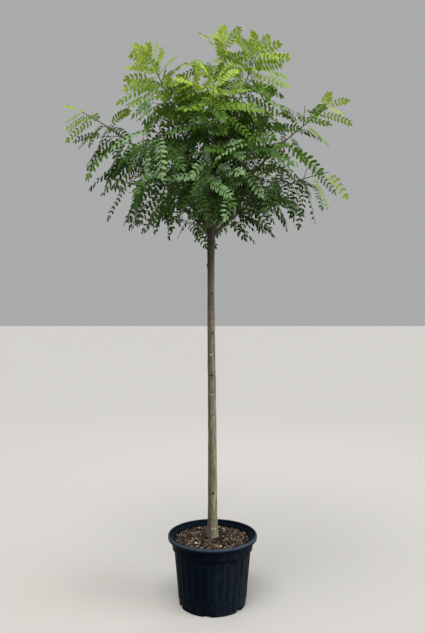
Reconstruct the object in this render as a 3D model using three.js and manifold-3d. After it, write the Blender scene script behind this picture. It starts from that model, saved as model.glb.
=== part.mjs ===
// A young Japanese pagoda tree, grown as a standard: one clear stem with a bushy head, in a round ribbed
// nursery pot. Millimetres, +Z up. The origin is the middle of the pot's flat underside, and the tree is
// seen from -Y. The head has twenty-one boughs, and each carries one mass of feathery, pinnate leaves.
import * as THREE from "three";
import { mergeVertices } from "three/addons/utils/BufferGeometryUtils.js";
import Module from "manifold-3d";

const wasm = await Module();
wasm.setup();

// Driving dimensions
const GAP = 0.3; // clearance between neighbouring solids
const UP = new THREE.Vector3(0, 0, 1);

const POT = {
  height: 308,
  rimRadius: 200,
  baseRadius: 150,
  taper: 0.092, // how much the wall's radius grows for each millimetre of height
  wall: 3,
  footHeight: 24,
  footInset: 2,
  ribsFrom: 54,
  ribsTo: 236,
  ribDepth: 2.4,
  collarFrom: 246,
  collarStep: 6,
  lipHeight: 21,
  lipWidth: 19,
  columns: 60, // ribs and grooves take turns, so there are 30 ribs
};
const DRAIN = { count: 6, width: 30, height: 17, depth: 20, firstAt: -100 };
const SOIL = { edgeHeight: 284, shoulderRadius: 118, shoulderHeight: 291, seatRadius: 42, seatHeight: 296 };

const TRUNK = {
  foot: SOIL.seatHeight + GAP,
  top: 1700,
  lean: -6.5, // how far to the left the head stands
  sway: [1.5, 2], // how far the trunk strays from a straight line, across and away
  sides: 12,
  // height, and radius there: root flare, long taper, swollen head, and the cut under the leader
  outline: [
    [SOIL.seatHeight + GAP, 27],
    [308, 24.6],
    [334, 21.6],
    [391, 19.6],
    [626, 18.4],
    [996, 16.6],
    [1356, 15],
    [1546, 15.1],
    [1626, 17.2],
    [1664, 18.6],
    [1688, 16.4],
    [1700, 11.5],
  ],
  flareLobes: 4,
  flareDepth: 2.4,
  flareHeight: 40,
};

// The boughs. Azimuth is in degrees, 0 to the right and -90 to the front; reach and top place the tip of
// the shoot; at is the height on the trunk, or the share along the carrying bough, where the bough starts;
// lift is how many degrees steeper it starts than the straight line to its tip; girth is its radius at the
// start; bare is the share of its length without leaves, which is the limb.
const BOUGHS = [
  ["leader", "trunk", TRUNK.top + GAP, 14, 70, 2515, 2, 10, 0.36],
  ["left_rise", "trunk", 1664, -164, 285, 2425, 8, 7.5, 0.36],
  ["left_arm", "trunk", 1648, -174, 575, 2185, 18, 7.5, 0.34],
  ["left_low", "trunk", 1628, -154, 420, 1850, 26, 6.5, 0.28],
  ["right_arm", "trunk", 1656, -3, 525, 2215, 14, 8, 0.36],
  ["right_low", "trunk", 1634, -8, 520, 1915, 20, 7, 0.34],
  ["front_rise", "trunk", 1660, -88, 280, 2235, 10, 7.5, 0.36],
  ["back_rise", "trunk", 1646, 98, 390, 2120, 16, 7.5, 0.34],
  ["top_right", "leader", 0.2, -16, 215, 2445, 6, 6, 0.34],
  ["top_back", "leader", 0.27, 118, 150, 2355, 6, 5, 0.32],
  ["left_back", "left_rise", 0.14, 134, 420, 2170, 14, 5.5, 0.32],
  ["left_mid", "left_arm", 0.16, 168, 460, 1990, 16, 5.5, 0.3],
  ["low_back_left", "left_low", 0.14, 130, 390, 1850, 20, 5, 0.26],
  ["front_left", "front_rise", 0.16, -124, 430, 2030, 16, 5.5, 0.3],
  ["front_right", "front_rise", 0.1, -58, 430, 1990, 18, 5.5, 0.28],
  ["low_front", "front_rise", 0.05, -94, 430, 1830, 26, 5, 0.24],
  ["right_mid", "right_arm", 0.16, 24, 430, 2050, 16, 5.5, 0.3],
  ["right_back", "right_arm", 0.26, 54, 410, 2200, 8, 5, 0.3],
  ["low_front_right", "right_low", 0.15, -38, 420, 1820, 20, 5, 0.26],
  ["low_back_right", "back_rise", 0.1, 42, 400, 1850, 20, 5, 0.26],
  ["low_back", "back_rise", 0.17, 86, 420, 1860, 14, 5, 0.26],
].map(([name, carrier, at, azimuth, reach, top, lift, girth, bare]) => {
  return { name, carrier, at, azimuth, reach, top, lift, girth, bare };
});
const STEEPEST = 87; // degrees
const BOUGH = { sides: 6, steps: 4, tipRadius: 2.2 };
const STEM = { sides: 3, steps: 4, thicker: 1.15 };
const TWIG = {
  at: 0.3, // the share of the stem where the one side twig leaves
  spread: 50, // degrees off the stem
  length: 150,
  rise: 10,
  radius: 3,
  steps: 2,
  leaves: [0.5, 0.95], // the shares of the twig where its leaves stand
  leafSize: 0.85,
};

// A leaf is pinnate: leaflets in pairs on a rib, and one at the end. Its solid is a blade that is cut to the
// rib between its leaflets, thickest along the rib.
const LEAF = {
  length: 300,
  thickness: 3.2,
  pairs: 4,
  stalk: 36, // the bare rib before the first pair
  terminal: 56, // the leaflet at the end
  ribHalfWidth: 5,
  reach: 74, // how far a leaflet stands out
  sweep: 18, // how far it leans forward
  taper: 0.3, // how much shorter the last pair is than the longest
  spacing: 62, // along the stem
  along: [0.12, 0.97], // the shares of the stem where the first leaf and the last stand
  vary: [0.92, 1.08], // how much leaves of one place differ in size
  spread: [84, 24], // degrees off the stem, at the stem's base and at its tip
  droop: [0.45, 0.14], // how far a leaf hangs, as a share of its length, low in the crown and at its top
  droopAlong: [1.1, 0.6], // times this at the stem's base and at its tip
  sizes: { atBase: 0.85, atTip: 0.42, fullAt: 0.45 }, // along the stem
  turn: 137.5, // degrees round the stem from one leaf to the next
  retry: 97, // degrees to turn for another try
  wander: 60, // and up to this much more
  roll: [16, 50], // degrees that a blade is turned about its rib, to either hand
  tries: 10,
  fullTries: 5, // after these tries the leaf is a smaller one
  smaller: 0.72,
};
const FOLIAGE = {
  site: 0.7, // the share of a shoot where the middle of its space is
  margin: 1.2, // how far foliage stays inside its own space
  clear: 1.5, // how far foliage stays off the limbs and the other stems
  // height, and how far out foliage reaches there
  outline: [
    [1615, 300],
    [1700, 470],
    [1800, 600],
    [1900, 640],
    [2250, 650],
    [2330, 520],
    [2420, 465],
    [2530, 400],
    [2600, 130],
  ],
  heights: [1750, 2400], // shoots that end at the first height droop most, at the second least
  freshAbove: 2150, // shoots that end higher are young and fresh green
};

// Finishes
const finish = (color, roughness) => new THREE.MeshStandardMaterial({ color, roughness, metalness: 0 });
const FINISH = {
  pot: finish(0x141b26, 0.5),
  soil: finish(0x3a291d, 0.95),
  bark: finish(0x7d7766, 0.85),
  bough: finish(0x4a4234, 0.8),
  deep: finish(0x2f5a22, 0.5),
  fresh: finish(0x7fae35, 0.5),
};

const { degToRad: radians, lerp, inverseLerp, clamp } = THREE.MathUtils;

/** A number from 0 to 1 that depends only on its whole-number keys, so the tree always grows the same way. */
function chance(...keys) {
  let h = 2166136261;
  for (const key of keys) {
    h = Math.imul(h ^ (key + 40503), 16777619);
    h ^= h >>> 15;
  }
  h = Math.imul(h ^ (h >>> 13), 73244475);
  return ((h ^ (h >>> 16)) >>> 0) / 4294967296;
}

/** A geometry from flat lists of coordinates and of vertex numbers. */
function indexed(coordinates, corners) {
  const geometry = new THREE.BufferGeometry();
  geometry.setAttribute("position", new THREE.Float32BufferAttribute(coordinates, 3));
  geometry.setIndex(corners);
  return geometry;
}

/** The solid within a closed geometry, which can be cut and joined. */
function solidOf(geometry) {
  const bare = geometry.index ? geometry.toNonIndexed() : geometry.clone();
  bare.deleteAttribute("normal");
  bare.deleteAttribute("uv");
  const merged = mergeVertices(bare, 1e-4);
  const vertProperties = merged.attributes.position.array;
  const triVerts = new Uint32Array(merged.index.array);
  return new wasm.Manifold(new wasm.Mesh({ numProp: 3, vertProperties, triVerts }));
}

/** A solid's largest piece. */
const largest = (solid) => solid.decompose().sort((a, b) => b.volume() - a.volume())[0];

/** A mesh of a solid, with its own origin at a point of the object. */
function meshOf(name, solid, origin, material) {
  const { vertProperties, triVerts } = solid.translate([-origin.x, -origin.y, -origin.z]).getMesh();
  const mesh = new THREE.Mesh(indexed([...vertProperties], [...triVerts]), material);
  mesh.geometry.computeVertexNormals();
  mesh.name = name;
  mesh.position.copy(origin);
  return mesh;
}

// The pot and its soil

/** The outer radius of the pot's wall at a height. */
const wallRadius = (z) => POT.baseRadius + POT.taper * z;
/** The inner radius of the pot at a height. */
const innerRadius = (z) => wallRadius(z) - POT.wall - POT.ribDepth;

/** A turned geometry about +Z from a profile of [radius, height], from the axis below to the axis above. */
function turned(profile, columns) {
  const points = [[0, profile[0][1]], ...profile, [0, profile.at(-1)[1]]];
  const outline = points.map(([r, z]) => new THREE.Vector2(r, z));
  return new THREE.LatheGeometry(outline, columns).rotateX(Math.PI / 2);
}

/** Draws every second column of the outer wall in, between the two heights of the ribs. */
function cutGrooves(geometry) {
  const position = geometry.attributes.position;
  const point = new THREE.Vector3();
  const slack = 0.01;
  for (let i = 0; i < position.count; i++) {
    point.fromBufferAttribute(position, i);
    const radius = Math.hypot(point.x, point.y);
    const column = Math.round((Math.atan2(point.y, point.x) * POT.columns) / (2 * Math.PI));
    const ribbed = point.z > POT.ribsFrom + slack && point.z < POT.ribsTo + slack;
    if (!ribbed || column % 2 === 0 || radius < wallRadius(point.z) - slack) continue;
    const drawnIn = (radius - POT.ribDepth) / radius;
    position.setXYZ(i, point.x * drawnIn, point.y * drawnIn, point.z);
  }
  return geometry;
}

function potSolid() {
  const { height, rimRadius, lipHeight, lipWidth, footHeight, footInset, collarFrom, collarStep } = POT;
  const lipBase = height - lipHeight;
  const profile = [
    [wallRadius(0) - footInset, 0],
    [wallRadius(footHeight) - footInset, footHeight],
    [wallRadius(footHeight + footInset), footHeight + footInset],
    [wallRadius(POT.ribsFrom), POT.ribsFrom],
    [wallRadius(POT.ribsFrom + POT.ribDepth), POT.ribsFrom + POT.ribDepth],
    [wallRadius(POT.ribsTo), POT.ribsTo],
    [wallRadius(collarFrom) + collarStep, collarFrom],
    [wallRadius(lipBase) + collarStep, lipBase],
    [rimRadius, lipBase + lipHeight * 0.2],
    [rimRadius, lipBase + lipHeight * 0.75],
    [rimRadius - lipWidth * 0.45, height],
    [rimRadius - lipWidth, height - lipHeight * 0.15],
    [innerRadius(lipBase), lipBase],
    [innerRadius(POT.wall), POT.wall],
  ];
  const pot = solidOf(cutGrooves(turned(profile, POT.columns)));
  const notch = new THREE.BoxGeometry(DRAIN.depth * 2, DRAIN.width, DRAIN.height * 2);
  notch.translate(wallRadius(0), 0, 0);
  const turns = Array.from({ length: DRAIN.count }, (_, i) => DRAIN.firstAt + (360 * i) / DRAIN.count);
  return turns.reduce((cut, turn) => cut.subtract(solidOf(notch).rotate([0, 0, turn])), pot);
}

/** The soil fills the pot to a little under its rim, and is heaped gently towards the trunk's flat seat. */
function soilSolid() {
  const floor = POT.wall + GAP;
  const profile = [
    [innerRadius(floor) - 2 * GAP, floor],
    [innerRadius(SOIL.edgeHeight) - 2 * GAP, SOIL.edgeHeight],
    [SOIL.shoulderRadius, SOIL.shoulderHeight],
    [SOIL.seatRadius, SOIL.seatHeight],
  ];
  return solidOf(turned(profile, POT.columns / 2));
}

// The trunk, the boughs and the stems

/** A solid from closed rings of points: quads between neighbouring rings, and a flat fan over each end. */
function throughRings(rings) {
  const sides = rings[0].length;
  const faces = [];
  for (let corner = 0; corner < (rings.length - 1) * sides; corner++) {
    const next = corner % sides === sides - 1 ? corner + 1 - sides : corner + 1;
    faces.push(corner, next, next + sides, corner, next + sides, corner + sides);
  }
  const last = (rings.length - 1) * sides;
  for (let side = 1; side + 1 < sides; side++) {
    faces.push(0, side + 1, side, last, last + side, last + side + 1);
  }
  return solidOf(indexed(rings.flat().flatMap((point) => point.toArray()), faces));
}

/** The middle of the trunk at a height: it leans a little to the left, in a shallow S. */
function trunkMiddle(z) {
  const share = (z - TRUNK.foot) / (TRUNK.top - TRUNK.foot);
  const [swayX, swayY] = TRUNK.sway;
  const x = TRUNK.lean * share + swayX * Math.sin(2 * Math.PI * share);
  return new THREE.Vector3(x, swayY * Math.sin(4 * share), z);
}

/** The trunk, with its radius made larger by extra. */
function trunkSolid(extra = 0) {
  const rings = TRUNK.outline.map(([z, radius]) => {
    const flare = TRUNK.flareDepth * Math.exp((TRUNK.foot - z) / TRUNK.flareHeight);
    return Array.from({ length: TRUNK.sides }, (_, side) => {
      const angle = (2 * Math.PI * side) / TRUNK.sides;
      const r = radius + extra + flare * Math.cos(TRUNK.flareLobes * angle);
      return trunkMiddle(z).add(new THREE.Vector3(r * Math.cos(angle), r * Math.sin(angle), 0));
    });
  });
  return throughRings(rings);
}

/** The part of a curve between two shares of its length. */
class Stretch extends THREE.Curve {
  constructor(whole, from, to) {
    super();
    Object.assign(this, { whole, from, to });
  }
  getPoint(t, target = new THREE.Vector3()) {
    return target.copy(this.whole.getPointAt(lerp(this.from, this.to, t)));
  }
}

/** A tapering limb along a curve, with flat ends. */
function limb(curve, startRadius, endRadius, sides, steps) {
  const { normals, binormals } = curve.computeFrenetFrames(steps, false);
  const rings = normals.map((normal, step) => {
    const radius = lerp(startRadius, endRadius, step / steps);
    return Array.from({ length: sides }, (_, side) => {
      const angle = (2 * Math.PI * side) / sides;
      return curve
        .getPointAt(step / steps)
        .addScaledVector(normal, radius * Math.cos(angle))
        .addScaledVector(binormals[step], radius * Math.sin(angle));
    });
  });
  return throughRings(rings);
}

/** Where a bough's shoot runs: from its start, leaving steeper than the straight line, over to its tip. */
function shootCurve(bough, shoots) {
  const start = shoots.get(bough.carrier)?.getPointAt(bough.at) ?? trunkMiddle(bough.at);
  const azimuth = radians(bough.azimuth);
  const tip = trunkMiddle(TRUNK.top).setZ(bough.top);
  tip.x += bough.reach * Math.cos(azimuth);
  tip.y += bough.reach * Math.sin(azimuth);
  const chord = tip.clone().sub(start);
  const level = Math.hypot(chord.x, chord.y);
  const steep = Math.min(Math.atan2(chord.z, level) + radians(bough.lift), radians(STEEPEST));
  const heading = new THREE.Vector3(chord.x / level, chord.y / level, Math.tan(steep)).normalize();
  const bend = start.clone().addScaledVector(heading, chord.length() / 2);
  return new THREE.QuadraticBezierCurve3(start, bend, tip);
}

/** A shoot's radius at a share of its length. */
const shootRadius = (bough, share) => lerp(bough.girth, BOUGH.tipRadius, share);

/** A bough's bare limb, with its radius made larger by extra. */
function boughSolid(bough, curve, extra = 0) {
  const bare = new Stretch(curve, 0, bough.bare);
  const endRadius = shootRadius(bough, bough.bare);
  return limb(bare, bough.girth + extra, endRadius + extra, BOUGH.sides, BOUGH.steps);
}

/** The leafy part of a shoot, from just past the limb's tip. */
const leafyPart = (bough, curve) => new Stretch(curve, bough.bare + GAP / curve.getLength(), 1);

/** The stem of a mass of foliage, with its radius made larger by extra. */
function stemSolid(bough, curve, extra = 0) {
  const base = shootRadius(bough, bough.bare) * STEM.thicker;
  return limb(leafyPart(bough, curve), base + extra, BOUGH.tipRadius + extra, STEM.sides, STEM.steps);
}

// The leaves

/** Where a leaf's rib points stand, each with the boundary points [along, across] after it on a side. */
const LEAF_STATIONS = (() => {
  const { length, stalk, terminal, pairs, reach, sweep, taper, ribHalfWidth } = LEAF;
  const pitch = (length - terminal - stalk) / pairs;
  const stations = [{ rib: 0, edge: [[stalk, ribHalfWidth]] }];
  for (let pair = 0; pair < pairs; pair++) {
    const middle = stalk + pitch * (pair + 0.5);
    const span = reach * (1 - taper * Math.abs((2 * pair) / (pairs - 1) - 0.8) ** 2);
    stations.push({ rib: middle, edge: [[middle + sweep, span], [middle + pitch / 2, ribHalfWidth]] });
  }
  const wide = length - terminal * 0.55;
  stations.push({ rib: wide, edge: [[wide, terminal * 0.36]] });
  return stations;
})();

/** One pinnate leaf: its corner points, and its faces over and under the blade. */
function leafBlade({ root, direction, size, droop, roll }) {
  const points = [];
  const faces = [];
  const place = (along, across, lifted) => {
    const t = along / LEAF.length;
    const heading = direction.clone().addScaledVector(UP, -2 * droop * t).normalize();
    const side = new THREE.Vector3().crossVectors(heading, UP).normalize().applyAxisAngle(heading, roll);
    const face = new THREE.Vector3().crossVectors(side, heading);
    const offset = direction.clone().multiplyScalar(along).addScaledVector(UP, -droop * t * along);
    offset.addScaledVector(side, across).addScaledVector(face, lifted);
    return points.push(root.clone().addScaledVector(offset, size)) - 1;
  };
  // Each corner is the number of its point over the blade and under it: a boundary corner has one point
  const boundary = (along, across) => Array(2).fill(place(along, across, 0));
  const cover = (a, b, c) => faces.push(a[0], b[0], c[0], c[1], b[1], a[1]);
  const half = LEAF.thickness / 2;
  const ribs = LEAF_STATIONS.map(({ rib }) => [place(rib, 0, half), place(rib, 0, -half)]);
  const tip = boundary(LEAF.length, 0);
  const roots = [1, -1].map((hand) => {
    const fill = (a, b, c) => (hand > 0 ? cover(a, b, c) : cover(a, c, b));
    const first = boundary(-LEAF.ribHalfWidth, hand * LEAF.ribHalfWidth);
    let last = first;
    LEAF_STATIONS.forEach(({ edge }, i) => {
      if (i > 0) fill(ribs[i - 1], last, ribs[i]);
      for (const [along, across] of edge) {
        const next = boundary(along, hand * across);
        fill(ribs[i], last, next);
        last = next;
      }
    });
    fill(ribs.at(-1), last, tip);
    return first;
  });
  cover(ribs[0], roots[1], roots[0]);
  return { points, faces };
}

/** The direction that lies an angle from one direction towards another that is square to it. */
function between(from, towards, angle) {
  return from.clone().multiplyScalar(Math.cos(angle)).addScaledVector(towards, Math.sin(angle));
}

/** A direction square to a stem at an angle round it, kept from pointing straight down off a level stem. */
function outward(tangent, angle) {
  const side = new THREE.Vector3().crossVectors(tangent, UP).normalize();
  const high = new THREE.Vector3().crossVectors(side, tangent);
  const out = between(side, high, angle);
  if (out.z < 0) out.z *= lerp(0.25, 1, Math.abs(tangent.z));
  return out.normalize();
}

/** A leaf's size by where it stands on its shoot: full in the middle, small and young at the tip. */
function leafSize(share) {
  const { atBase, atTip, fullAt } = LEAF.sizes;
  return share < fullAt ? lerp(atBase, 1, share / fullAt) : lerp(1, atTip, (share - fullAt) / (1 - fullAt));
}

/** Whether a point lies within the crown's outline. */
function inCrown(point) {
  const above = FOLIAGE.outline.findIndex(([z]) => z > point.z);
  if (above < 1) return false;
  const [[lowZ, lowReach], [highZ, highReach]] = FOLIAGE.outline.slice(above - 1, above + 1);
  return Math.hypot(point.x, point.y) < lerp(lowReach, highReach, inverseLerp(lowZ, highZ, point.z));
}

/** The leaves and twigs of one shoot, kept to the shoot's own space and off every limb. */
class Foliage {
  constructor(index, curve, sites, keepOff) {
    Object.assign(this, { index, keepOff, bough: BOUGHS[index], stem: leafyPart(BOUGHS[index], curve) });
    this.height = clamp(inverseLerp(...FOLIAGE.heights, this.bough.top), 0, 1);
    this.pieces = [stemSolid(this.bough, curve)];
    // Half-way planes between this space and the others: [direction, distance]
    this.borders = sites.toSpliced(index, 1).map((other) => {
      const direction = other.clone().sub(sites[index]).normalize();
      return [direction, direction.dot(other.clone().add(sites[index])) / 2 - FOLIAGE.margin];
    });
  }

  /** Whether all points lie in this shoot's space and within the crown's outline. */
  owns(points) {
    return points.every((p) => inCrown(p) && this.borders.every(([way, limit]) => p.dot(way) < limit));
  }

  /** Adds a solid if its points are in this space and it touches nothing to keep off; says whether it did. */
  adds(points, solid) {
    const fits = this.owns(points) && solid.intersect(this.keepOff).isEmpty();
    if (fits) this.pieces.push(solid);
    return fits;
  }

  /** Keeps what is added later off a solid. */
  closes(solid) {
    this.keepOff = this.keepOff.add(solid);
  }

  /** Adds a leaf at a share of a curve, turned further round until it fits, or not at all. */
  addLeaf(curve, share, order, size) {
    const root = curve.getPointAt(share);
    const tangent = curve.getTangentAt(share);
    const spread = radians(lerp(...LEAF.spread, share));
    const droop = lerp(...LEAF.droop, this.height) * lerp(...LEAF.droopAlong, share);
    const hand = chance(this.index, order, 5) < 0.5 ? -1 : 1;
    const roll = hand * radians(lerp(...LEAF.roll, chance(this.index, order, 1)));
    for (let attempt = 0; attempt < LEAF.tries; attempt++) {
      const wander = LEAF.wander * chance(this.index, order, 2, attempt);
      const out = outward(tangent, radians(LEAF.turn * order + LEAF.retry * attempt + wander));
      const direction = between(tangent, out, spread);
      const fitted = attempt < LEAF.fullTries ? size : size * LEAF.smaller;
      const { points, faces } = leafBlade({ root, direction, size: fitted, droop, roll });
      const leaf = solidOf(indexed(points.flatMap((p) => p.toArray()), faces));
      if (!this.adds(points, leaf)) continue;
      this.closes(leaf);
      return;
    }
  }

  /** Adds a side twig with leaves of its own. */
  addTwig() {
    const { index, stem } = this;
    const root = stem.getPointAt(TWIG.at);
    const tangent = stem.getTangentAt(TWIG.at);
    const spread = radians(TWIG.spread);
    for (let attempt = 0; attempt < LEAF.tries; attempt++) {
      const direction = between(tangent, outward(tangent, radians(360 * chance(index, attempt, 3))), spread);
      const tip = root.clone().addScaledVector(direction, TWIG.length);
      const bend = root.clone().addScaledVector(direction, TWIG.length / 2).addScaledVector(UP, TWIG.rise);
      const curve = new THREE.QuadraticBezierCurve3(root, bend, tip);
      const twig = limb(curve, TWIG.radius, TWIG.radius * 0.7, STEM.sides, TWIG.steps);
      if (!this.adds([bend, tip], twig)) continue;
      TWIG.leaves.forEach((share, i) => this.addLeaf(curve, share, 100 + i, TWIG.leafSize));
      this.closes(twig);
      return;
    }
  }

  /** The whole mass as one solid. */
  solid() {
    this.addTwig();
    const count = Math.round(this.stem.getLength() / LEAF.spacing);
    for (let i = 0; i < count; i++) {
      const share = lerp(...LEAF.along, i / (count - 1));
      const size = leafSize(share) * lerp(...LEAF.vary, chance(this.index, i, 4));
      this.addLeaf(this.stem, share, i + this.index, size);
    }
    return largest(wasm.Manifold.union(this.pieces));
  }
}

// The whole plant
const shoots = new Map();
for (const bough of BOUGHS) shoots.set(bough.name, shootCurve(bough, shoots));

const tree = new THREE.Group();
tree.add(meshOf("trunk", trunkSolid(), trunkMiddle(TRUNK.foot), FINISH.bark));
let wood = trunkSolid(GAP); // the trunk and the boughs so far, grown by the gap to the next bough
for (const bough of BOUGHS) {
  const curve = shoots.get(bough.name);
  const solid = largest(boughSolid(bough, curve).subtract(wood));
  tree.add(meshOf(`bough_${bough.name}`, solid, curve.getPointAt(0), FINISH.bough));
  wood = wood.add(boughSolid(bough, curve, GAP / Math.cos(Math.PI / BOUGH.sides)));
}

const curves = [...shoots.values()];
const sites = curves.map((curve) => curve.getPointAt(FOLIAGE.site));
const limbs = BOUGHS.map((bough, i) => boughSolid(bough, curves[i], FOLIAGE.clear));
const stems = BOUGHS.map((bough, i) => stemSolid(bough, curves[i], FOLIAGE.clear));
BOUGHS.forEach((bough, i) => {
  const keepOff = wasm.Manifold.union([trunkSolid(FOLIAGE.clear), ...limbs, ...stems.toSpliced(i, 1)]);
  const foliage = new Foliage(i, curves[i], sites, keepOff);
  const material = bough.top > FOLIAGE.freshAbove ? FINISH.fresh : FINISH.deep;
  tree.add(meshOf(`foliage_${bough.name}`, foliage.solid(), foliage.stem.getPointAt(0), material));
});

const pottedTree = new THREE.Group();
pottedTree.add(meshOf("pot", potSolid(), new THREE.Vector3(), FINISH.pot));
pottedTree.add(meshOf("soil", soilSolid(), new THREE.Vector3(0, 0, POT.wall + GAP), FINISH.soil));
pottedTree.add(tree);

export default pottedTree;
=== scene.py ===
"""A young Japanese pagoda tree, grown as a standard in a ribbed nursery pot: the finished model.

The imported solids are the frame. The pot, its soil, the trunk, the boughs and the masses of leaves are each
replaced by finer pieces in the same place: the boughs follow the same courses, and the leaves grow on from
them by the same rule, on finer twigs. Sizes are in millimetres and become metres when a mesh is made. +Z is
up, and the tree is seen from -Y.
"""

import logging
import math
from dataclasses import dataclass, field
from enum import Enum
from functools import cached_property

import bpy
import numpy as np
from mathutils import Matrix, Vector


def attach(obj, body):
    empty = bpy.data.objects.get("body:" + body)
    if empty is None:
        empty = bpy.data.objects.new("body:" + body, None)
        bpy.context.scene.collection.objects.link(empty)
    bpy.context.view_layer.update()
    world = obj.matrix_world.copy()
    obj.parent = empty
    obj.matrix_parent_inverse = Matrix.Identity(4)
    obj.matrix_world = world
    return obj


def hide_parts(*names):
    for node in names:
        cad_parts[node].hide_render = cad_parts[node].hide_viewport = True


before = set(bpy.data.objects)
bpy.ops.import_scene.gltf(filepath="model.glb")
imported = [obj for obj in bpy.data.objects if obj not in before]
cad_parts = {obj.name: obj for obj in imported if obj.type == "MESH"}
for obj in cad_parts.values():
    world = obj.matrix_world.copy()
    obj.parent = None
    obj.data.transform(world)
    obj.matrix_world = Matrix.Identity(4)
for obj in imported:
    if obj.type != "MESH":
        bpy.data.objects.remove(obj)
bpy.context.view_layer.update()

Array = np.ndarray
Colour = tuple[float, float, float]
Place = tuple[float, float, float]
Pair = tuple[float, float]
Material = bpy.types.Material
Socket = bpy.types.NodeSocket

log = logging.getLogger("pagoda_tree")
MM = 0.001
UP = np.array([0.0, 0.0, 1.0])
FULL_TURN = 2 * np.pi
GAP = 0.3  # the clearance between neighbouring solids of the frame


class Slot(Enum):
    """The record's material slots."""

    POT = "pot"
    SOIL = "soil"
    BARK = "bark"
    BOUGH = "bough_bark"
    DEEP = "leaves_deep"
    FRESH = "leaves_fresh"


# Arithmetic on whole arrays


def chance(*keys: Array | int) -> Array:
    """Numbers from 0 to 1 that depend only on whole-number keys, so the plant always grows the same way.

    Each key in turn is mixed into a 32-bit number by exclusive or, a product and a shift, and the last
    number is divided by its range.

    Args:
        keys: whole numbers or arrays of them, which are broadcast together.

    Returns:
        An array in the shape of the broadcast keys.
    """
    start, prime, stir, word = (np.uint64(n) for n in (2166136261, 16777619, 73244475, 2**32 - 1))
    h = start
    for key in keys:
        shifted = (np.asarray(key, np.int64) + 40503).astype(np.uint64) & word
        h = ((h ^ shifted) * prime) & word
        h = h ^ (h >> np.uint64(15))
    h = ((h ^ (h >> np.uint64(13))) * stir) & word
    return (h ^ (h >> np.uint64(16))).astype(float) / 2**32


def lerp(start: Array | float, end: Array | float, share: Array | float) -> Array | float:
    """The value that lies a share of the way from start to end."""
    return start + (end - start) * share


def between(low: float, high: float, *keys: Array | int) -> Array:
    """Chance values from low to high."""
    return lerp(low, high, chance(*keys))


def smooth(value: Array) -> Array:
    """A share from 0 to 1 that eases in and out: three squares less two cubes of the clipped value."""
    t = np.clip(value, 0, 1)
    return t * t * (3 - 2 * t)


def bell(value: Array) -> Array:
    """A hump that is 1 at 0 and dies away on both sides: e to the power of minus the square."""
    return np.exp(-(value**2))


def wrapped(angle: Array) -> Array:
    """Angles brought to between minus and plus half a turn."""
    return (angle + np.pi) % FULL_TURN - np.pi


def circle(columns: int) -> Array:
    """Angles evenly spread round a turn."""
    return FULL_TURN * np.arange(columns) / columns


def unit(vectors: Array) -> Array:
    """The vectors at length 1."""
    return vectors / np.linalg.norm(vectors, axis=-1, keepdims=True)


def level(headings: Array) -> Array:
    """The level direction square to each heading."""
    return unit(np.cross(headings, UP))


def spun(axis: Array, way: Array, angle: Array) -> Array:
    """A direction square to an axis, turned about it: way cos angle + (axis x way) sin angle."""
    return way * np.cos(angle)[..., None] + np.cross(axis, way) * np.sin(angle)[..., None]


def lumps(points: Array, size: float | tuple[float, float, float], seed: int, octaves: int = 1) -> Array:
    """Smooth lumps in space: each corner of a grid of boxes gets a chance value, blended in between.

    Args:
        points: places, with the coordinates last.
        size: the edge of a box, or its three edges.
        seed: a whole number that picks the pattern.
        octaves: how many grids are added, each with half the size and half the height of the one before.

    Returns:
        A value for each point, mostly from -1 to 1.
    """
    total = np.zeros(points.shape[:-1])
    for octave in range(octaves):
        place = points / np.asarray(size, float) * 2**octave
        cell = np.floor(place).astype(np.int64)
        weight = smooth(place - cell)
        for corner in np.ndindex(2, 2, 2):
            near = np.prod(np.where(np.array(corner) == 1, weight, 1 - weight), axis=-1)
            x, y, z = np.moveaxis(cell + np.array(corner), -1, 0)
            total += near * between(-1, 1, x, y, z, seed + octave) / 2**octave
    return total


# Meshes


@dataclass
class Skin:
    """A mesh in the making: points in millimetres, quads and triangles, and the finish that each takes."""

    points: Array
    quads: Array
    triangles: Array
    quad_tones: Array
    triangle_tones: Array
    marks: dict[str, Array] = field(default_factory=dict)  # a number for each point, by name


def joined(skins: list[Skin]) -> Skin:
    """One skin out of several, whose corner numbers are each moved past the points before them.

    Args:
        skins: the skins, which carry marks of the same names.

    Returns:
        The joined skin.
    """
    starts = np.cumsum([0] + [len(skin.points) for skin in skins])
    parts = [
        (skin.points, skin.quads + start, skin.triangles + start, skin.quad_tones, skin.triangle_tones)
        for skin, start in zip(skins, starts)
    ]
    marks = {name: np.concatenate([skin.marks[name] for skin in skins]) for name in skins[0].marks}
    return Skin(*(np.concatenate(column) for column in zip(*parts)), marks)


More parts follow.
